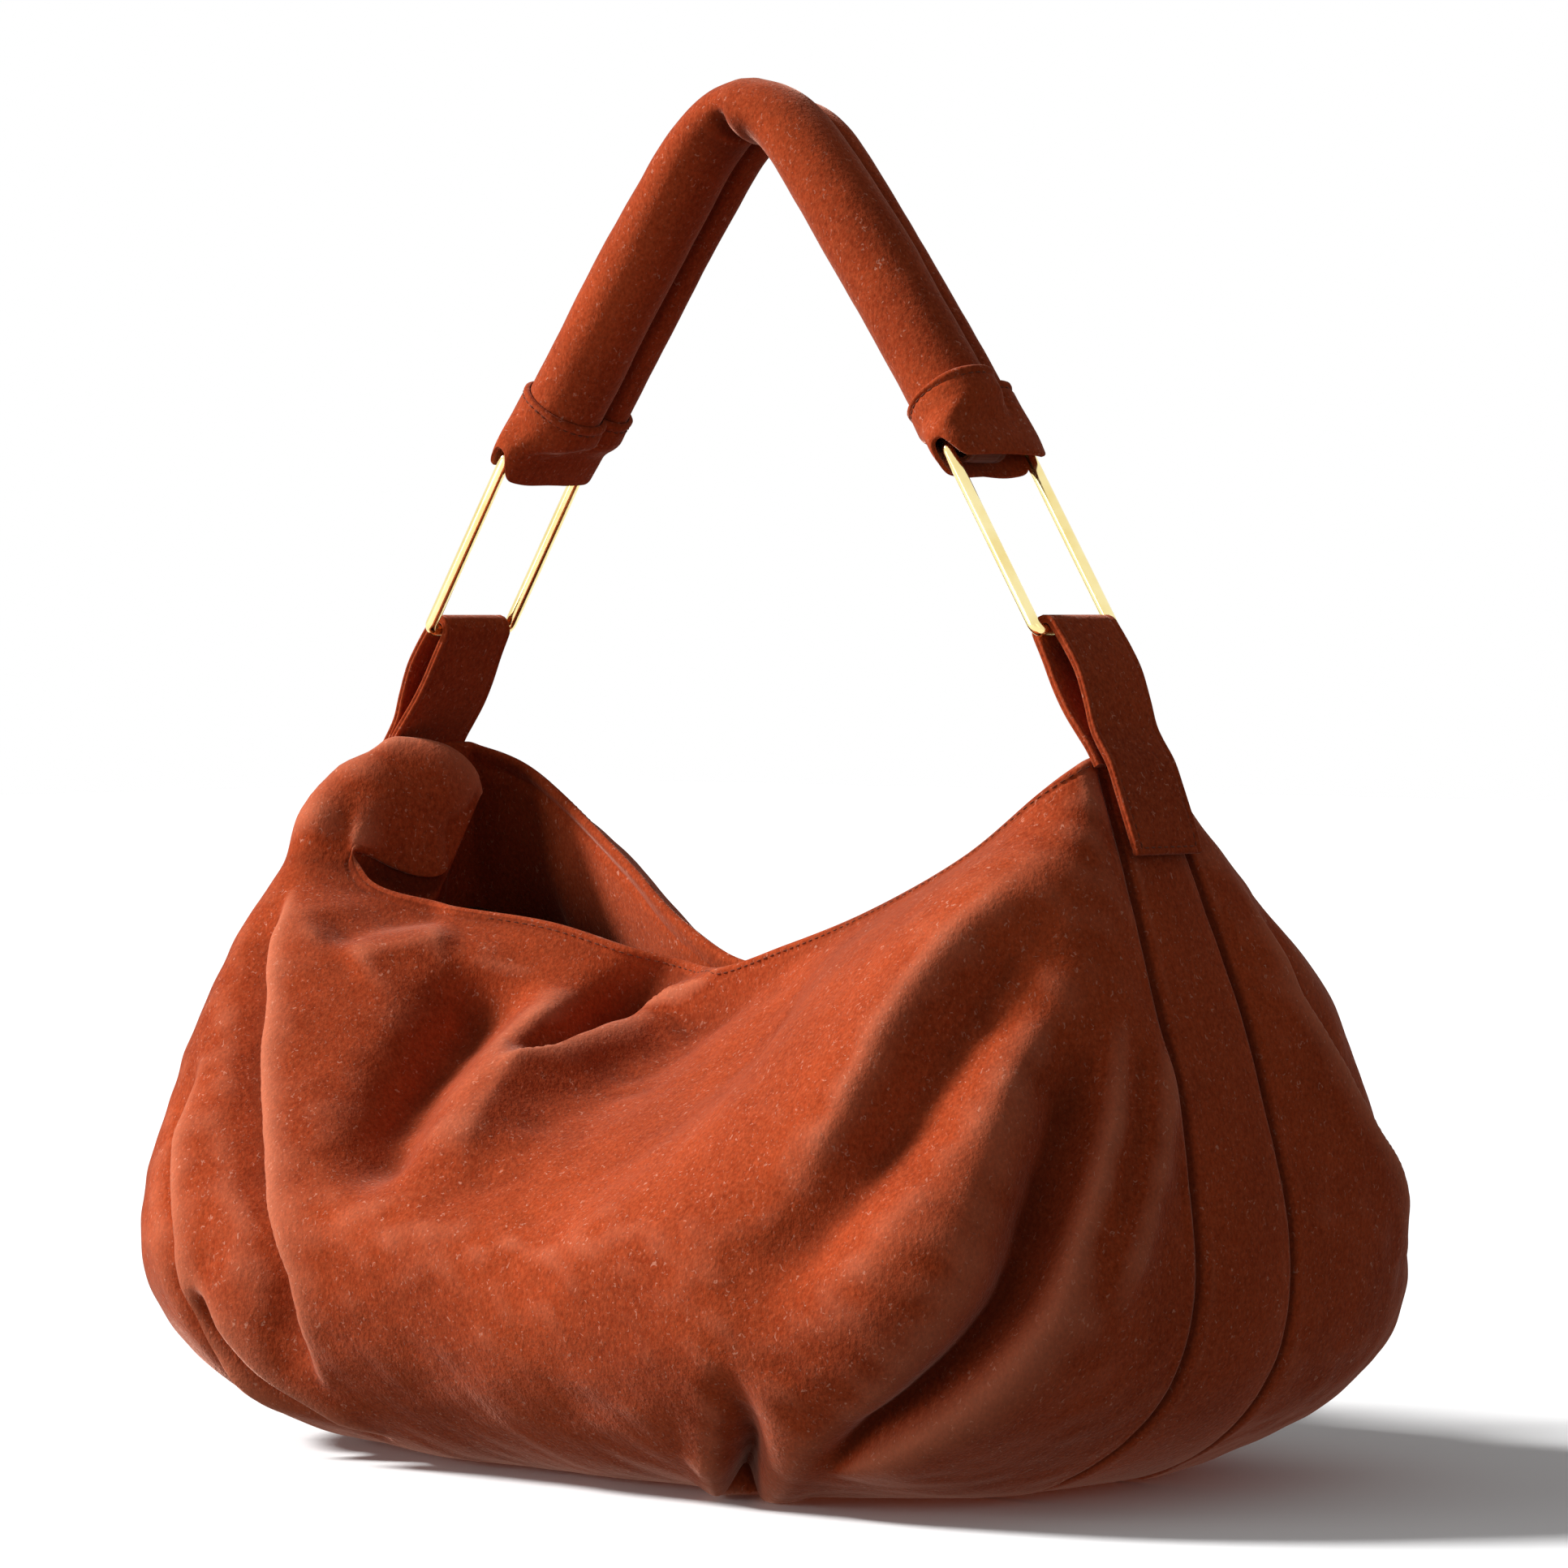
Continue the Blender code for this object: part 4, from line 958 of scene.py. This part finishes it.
def handle_route():
    right = spline([*HANDLE_LINE, UPPER_BAR])
    return np.vstack([right[:0:-1] * [-1.0, 1.0], right])


def lobed(grow):
    """The two-lobed outline as (across the arch, along Y)."""
    centre = np.array([-0.001, LOBE_MEETING])
    found = []
    for way in np.stack([np.cos(ANGLES), np.sin(ANGLES)], axis=1):
        reach = 0.0
        for middle, radius in ((ROLL_CENTRE, ROLL_RADIUS), (LOBE_CENTRE, LOBE_RADIUS)):
            to_middle = middle - centre
            along = way @ to_middle
            inside = (radius + grow) ** 2 - (to_middle @ to_middle - along**2)
            if inside > 0:
                reach = max(reach, along + math.sqrt(inside))
        found.append(centre + way * reach)
    return np.array(found)


def handle_cover():
    """The cover's rings of points, and each point's painted shading, from shade in hollows to highlight on
    crests.
    """
    route = handle_route()
    run = run_of(route)
    stops = np.linspace(COVER_END, run[-1] - COVER_END, 190)
    points = points_at(stops, run, route)
    outline = lobed(0.0)
    inward = smooth(-outline[:, 0] / 0.008)
    sides = smooth((0.007 - outline[:, 0]) / 0.014)
    skin = []
    for (x, z), (way_x, way_z) in zip(points, unit(np.gradient(points, axis=0))):
        apex = bell(x, APEX_REACH)
        p, q = (outline * [1 - APEX_FLATTEN * apex, 1 + APEX_SPREAD * apex]).T
        pinch = 5.0 * MM * bell(x + 0.0030, 0.0036)
        swell = 1.8 * MM * bell(x - 0.004, 0.006)
        push = (swell * sides - pinch * (0.35 * sides + 0.65 * inward)) / np.maximum(np.hypot(p, q), 1e-6)
        p, q = p * (1 + push), q * (1 + 0.6 * push)
        skin.append(np.stack([x - way_z * p, q, z + way_x * p], axis=1))
    skin = np.array(skin)
    normal = np.cross(np.gradient(skin, axis=0), np.roll(skin, -1, axis=1) - np.roll(skin, 1, axis=1))
    normal /= np.maximum(np.linalg.norm(normal, axis=2, keepdims=True), 1e-12)
    normal *= np.sign(((skin - skin.mean(1, keepdims=True)) * normal).sum(2, keepdims=True))
    ends = smooth(np.minimum(stops - stops[0], stops[-1] - stops) / 0.02)[:, None]
    uneven = 0.16 * MM * waves(skin, 0.030, 7) + 0.05 * MM * waves(skin, 0.010, 8)
    skin = skin + normal * (uneven * ends)[..., None]
    bend_shading = sum(bend_along(skin, normal, 0, step) for step in (2, 4))
    valley = np.linalg.norm(outline - LOBE_CENTRE, axis=1) / LOBE_RADIUS
    waist = np.linalg.norm(outline - ROLL_CENTRE, axis=1) / ROLL_RADIUS
    # Painted shade: darker in the groove where the roll and the lobe meet, and under the arch's inner side
    # near its top
    groove = bell(valley + waist - 2, 0.22)
    shade_under_arch = bell(skin[..., 0], 0.010) * inward
    return skin, np.tanh(bend_shading / 260.0 - 1.2 * groove - shade_under_arch)


cover_skin, cover_bend = handle_cover()
cover = tube("handle_cover_suede", cover_skin, SUEDE, "handle", bend_shading=cover_bend, smooth_angle=80.0)
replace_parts(cover, "handle_cover", "handle_core")


def cuffs():
    """The handle's flared ends, notched at the front and the back, and the webbing inside them."""
    length = CUFF_TOP - CUFF_BOTTOM
    to_front, to_back = (
        np.abs((ANGLES - angle * math.pi + math.pi) % (2 * math.pi) - math.pi) for angle in (1.5, 0.5)
    )
    notch = 9 * MM * bell(to_front, 0.42) + 5 * MM * bell(to_back, 0.40)
    for sign, word in SIDES:
        bar = UPPER_BAR * [sign, 1]
        up = unit((HANDLE_LINE[-1] - UPPER_BAR) * [sign, 1])
        out = sign * np.array([up[1], -up[0]])

        def skin_at(share, extra):
            """One ring of the cuff: share 0 is its top edge, 1 its bottom edge."""
            along = CUFF_TOP + (CUFF_BOTTOM + notch - CUFF_TOP) * share
            flat = squared_oval(OUTLINE, (CUFF_HALF_THICK + extra, CUFF_HALF_WIDTH + extra), 0.6)
            blend = smooth((CUFF_LOBED - along) / (CUFF_LOBED - CUFF_FLAT))[:, None]
            outline = lobed(0.3 * MM + extra) * (1 - blend) + flat * blend
            outline = outline * (1 - 0.10 * smooth((0.001 - along) / 0.010)[:, None] * np.array([1.0, 0.4]))
            x, z = (bar + out * outline[:, :1] + up * along[:, None]).T
            return np.column_stack([x, outline[:, 1], z])

        rows = []
        for share in CUFF_SHARES:
            depth = share * length
            bead = 0.35 * MM * bell(depth - 1.2 * MM, 1.0 * MM)
            groove = 0.4 * MM * bell(depth - CUFF_SEAM, 0.45 * MM)
            edge = 0.6 * MM * (1 - smooth(depth / (0.6 * MM))) + 0.5 * MM * smooth((share - 0.985) / 0.015)
            ring = skin_at(share, CUFF + bead - groove - edge)
            wrinkle = 0.25 * MM * waves(ring, 0.012, 21)
            rows.append(ring + unit(ring - ring.mean(0)) * wrinkle[:, None])
        rows += [skin_at(share, 0.1 * MM) for share in (1.0, 0.97, 0.7, 0.4, 0.1, 0.012, 0.0)]
        cuff = tube(word + "_cuff_suede", rows, SUEDE, "handle", closed=True, smooth_angle=75.0)
        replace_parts(cuff, word + "_cuff")

        sewn = skin_at(CUFF_SEAM / length, CUFF - 0.25 * MM)
        sewn = np.vstack([sewn, sewn[:1]])
        away = sewn - sewn[:-1].mean(0)
        stitches(word + "_cuff_stitches", sewn, away, "handle", 2.7 * MM, 1.9 * MM, 0.26 * MM)

        turn = LOOP_EYE + LOOP_STRAP / 2
        tails = [bar + up * LOOP_TAIL, bar + up * LOOP_TAIL / 2]
        path = [tail + out * turn for tail in tails]
        path += [bar + (out * math.cos(a) + up * math.sin(a)) * turn for a in np.linspace(0, -math.pi, 11)]
        path += [tail - out * turn for tail in tails[::-1]]
        loop = ribbon(word + "_end_loop_webbing", path, LOOP_HALF_WIDTH, LOOP_STRAP * 0.96, WEBBING, "handle")
        for vert in loop.data.vertices:
            vert.co.y += ROLL_CENTRE[1]
        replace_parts(loop, word + "_end_loop")


cuffs()

# CAD pieces that stay as they are get their finish here
finishes = dict.fromkeys(("snap_stud", "snap_socket", "snap_front_washer", "snap_back_washer"), BRASS)
finishes["base_board"] = BOARD
for name, finish in finishes.items():
    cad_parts[name].data.materials.clear()
    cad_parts[name].data.materials.append(finish)


# ---------------- floor, light and camera

ROOM_LIGHT = 0.20  # against the white that the camera sees behind the bag


def hang(name, data, place, turn):
    made = bpy.data.objects.new(name, data)
    bpy.context.scene.collection.objects.link(made)
    made.location, made.rotation_euler = place, turn
    return made


def softbox(name, place, size, power, aim=(0.0, 0.0, 0.16)):
    light = bpy.data.lights.new(name, "AREA")
    light.shape, light.size, light.energy = "SQUARE", size, power
    x, y, z = np.array(aim) - np.array(place)
    hang(name, light, place, (math.atan2(math.hypot(x, y), -z), 0.0, math.atan2(y, x) - math.pi / 2))


def studio():
    material, tree, shader = new_material("pale_floor")
    place = node(tree, "ShaderNodeTexCoord", output="Object")
    tone = between(tree, noise(tree, place, 1.5, 2.0), 0.3, 0.7)
    colour = mixed(tree, tone, (0.97, 0.97, 0.97), (1.0, 1.0, 1.0))
    fill(tree, shader, {"Base Color": colour, "Roughness": 0.9})
    bpy.ops.mesh.primitive_plane_add(size=12.0, location=(0, 0, -0.0004))
    floor = bpy.context.object
    floor.name = "studio_floor"
    floor.data.materials.append(material)
    floor.visible_diffuse = False

    world = bpy.data.worlds.new("studio")
    world.use_nodes = True
    sky = world.node_tree
    ray = sky.nodes.new("ShaderNodeLightPath").outputs
    either = {0: ray["Is Camera Ray"], 1: ray["Is Glossy Ray"]}
    seen = node(sky, "ShaderNodeMath", either, operation="MAXIMUM")
    strength = between(sky, seen, 0.0, 1.0, ROOM_LIGHT, 1.0)
    fill(sky, sky.nodes["Background"], {"Strength": strength, "Color": (1.0, 1.0, 1.0, 1.0)})
    bpy.context.scene.world = world
    bpy.context.scene.view_settings.view_transform = "Standard"

    sun = bpy.data.lights.new("key", "SUN")
    sun.energy, sun.angle = 5.2, math.radians(12)
    hang("key", sun, (0.0, 0.0, 0.0), (math.radians(56), 0.0, math.radians(-54)))
    softbox("side", (1.9, -0.5, 0.8), 0.8, 1.0)
    softbox("low", (-0.6, -1.5, 0.2), 0.8, 9.0, (0.0, 0.0, 0.06))


studio()

# The camera stands off the front right corner, a little above the bag's middle
CAMERA_AZIMUTH = math.radians(43.5)
CAMERA_DISTANCE, CAMERA_HEIGHT = 2.05, 0.250
SENSOR, FOCAL_SHARE = 36.0, 4.389  # the focal length is over the sensor's width
LEVEL_SHARE, CENTRE_SHARE = 0.3934, 0.4845  # where the camera's own height and the Z axis fall in its view
lens = bpy.data.cameras.new("camera")
lens.sensor_width, lens.lens = SENSOR, SENSOR * FOCAL_SHARE
lens.clip_start, lens.clip_end = 0.1, 50.0
pitch = math.atan((0.5 - LEVEL_SHARE) / FOCAL_SHARE)
yaw = math.atan((0.5 - CENTRE_SHARE) / FOCAL_SHARE)
across, ahead = math.sin(CAMERA_AZIMUTH), -math.cos(CAMERA_AZIMUTH)
spot = (CAMERA_DISTANCE * across, CAMERA_DISTANCE * ahead, CAMERA_HEIGHT)
camera = hang("camera", lens, spot, (math.pi / 2 - pitch, 0.0, CAMERA_AZIMUTH - yaw))
bpy.context.scene.camera = camera
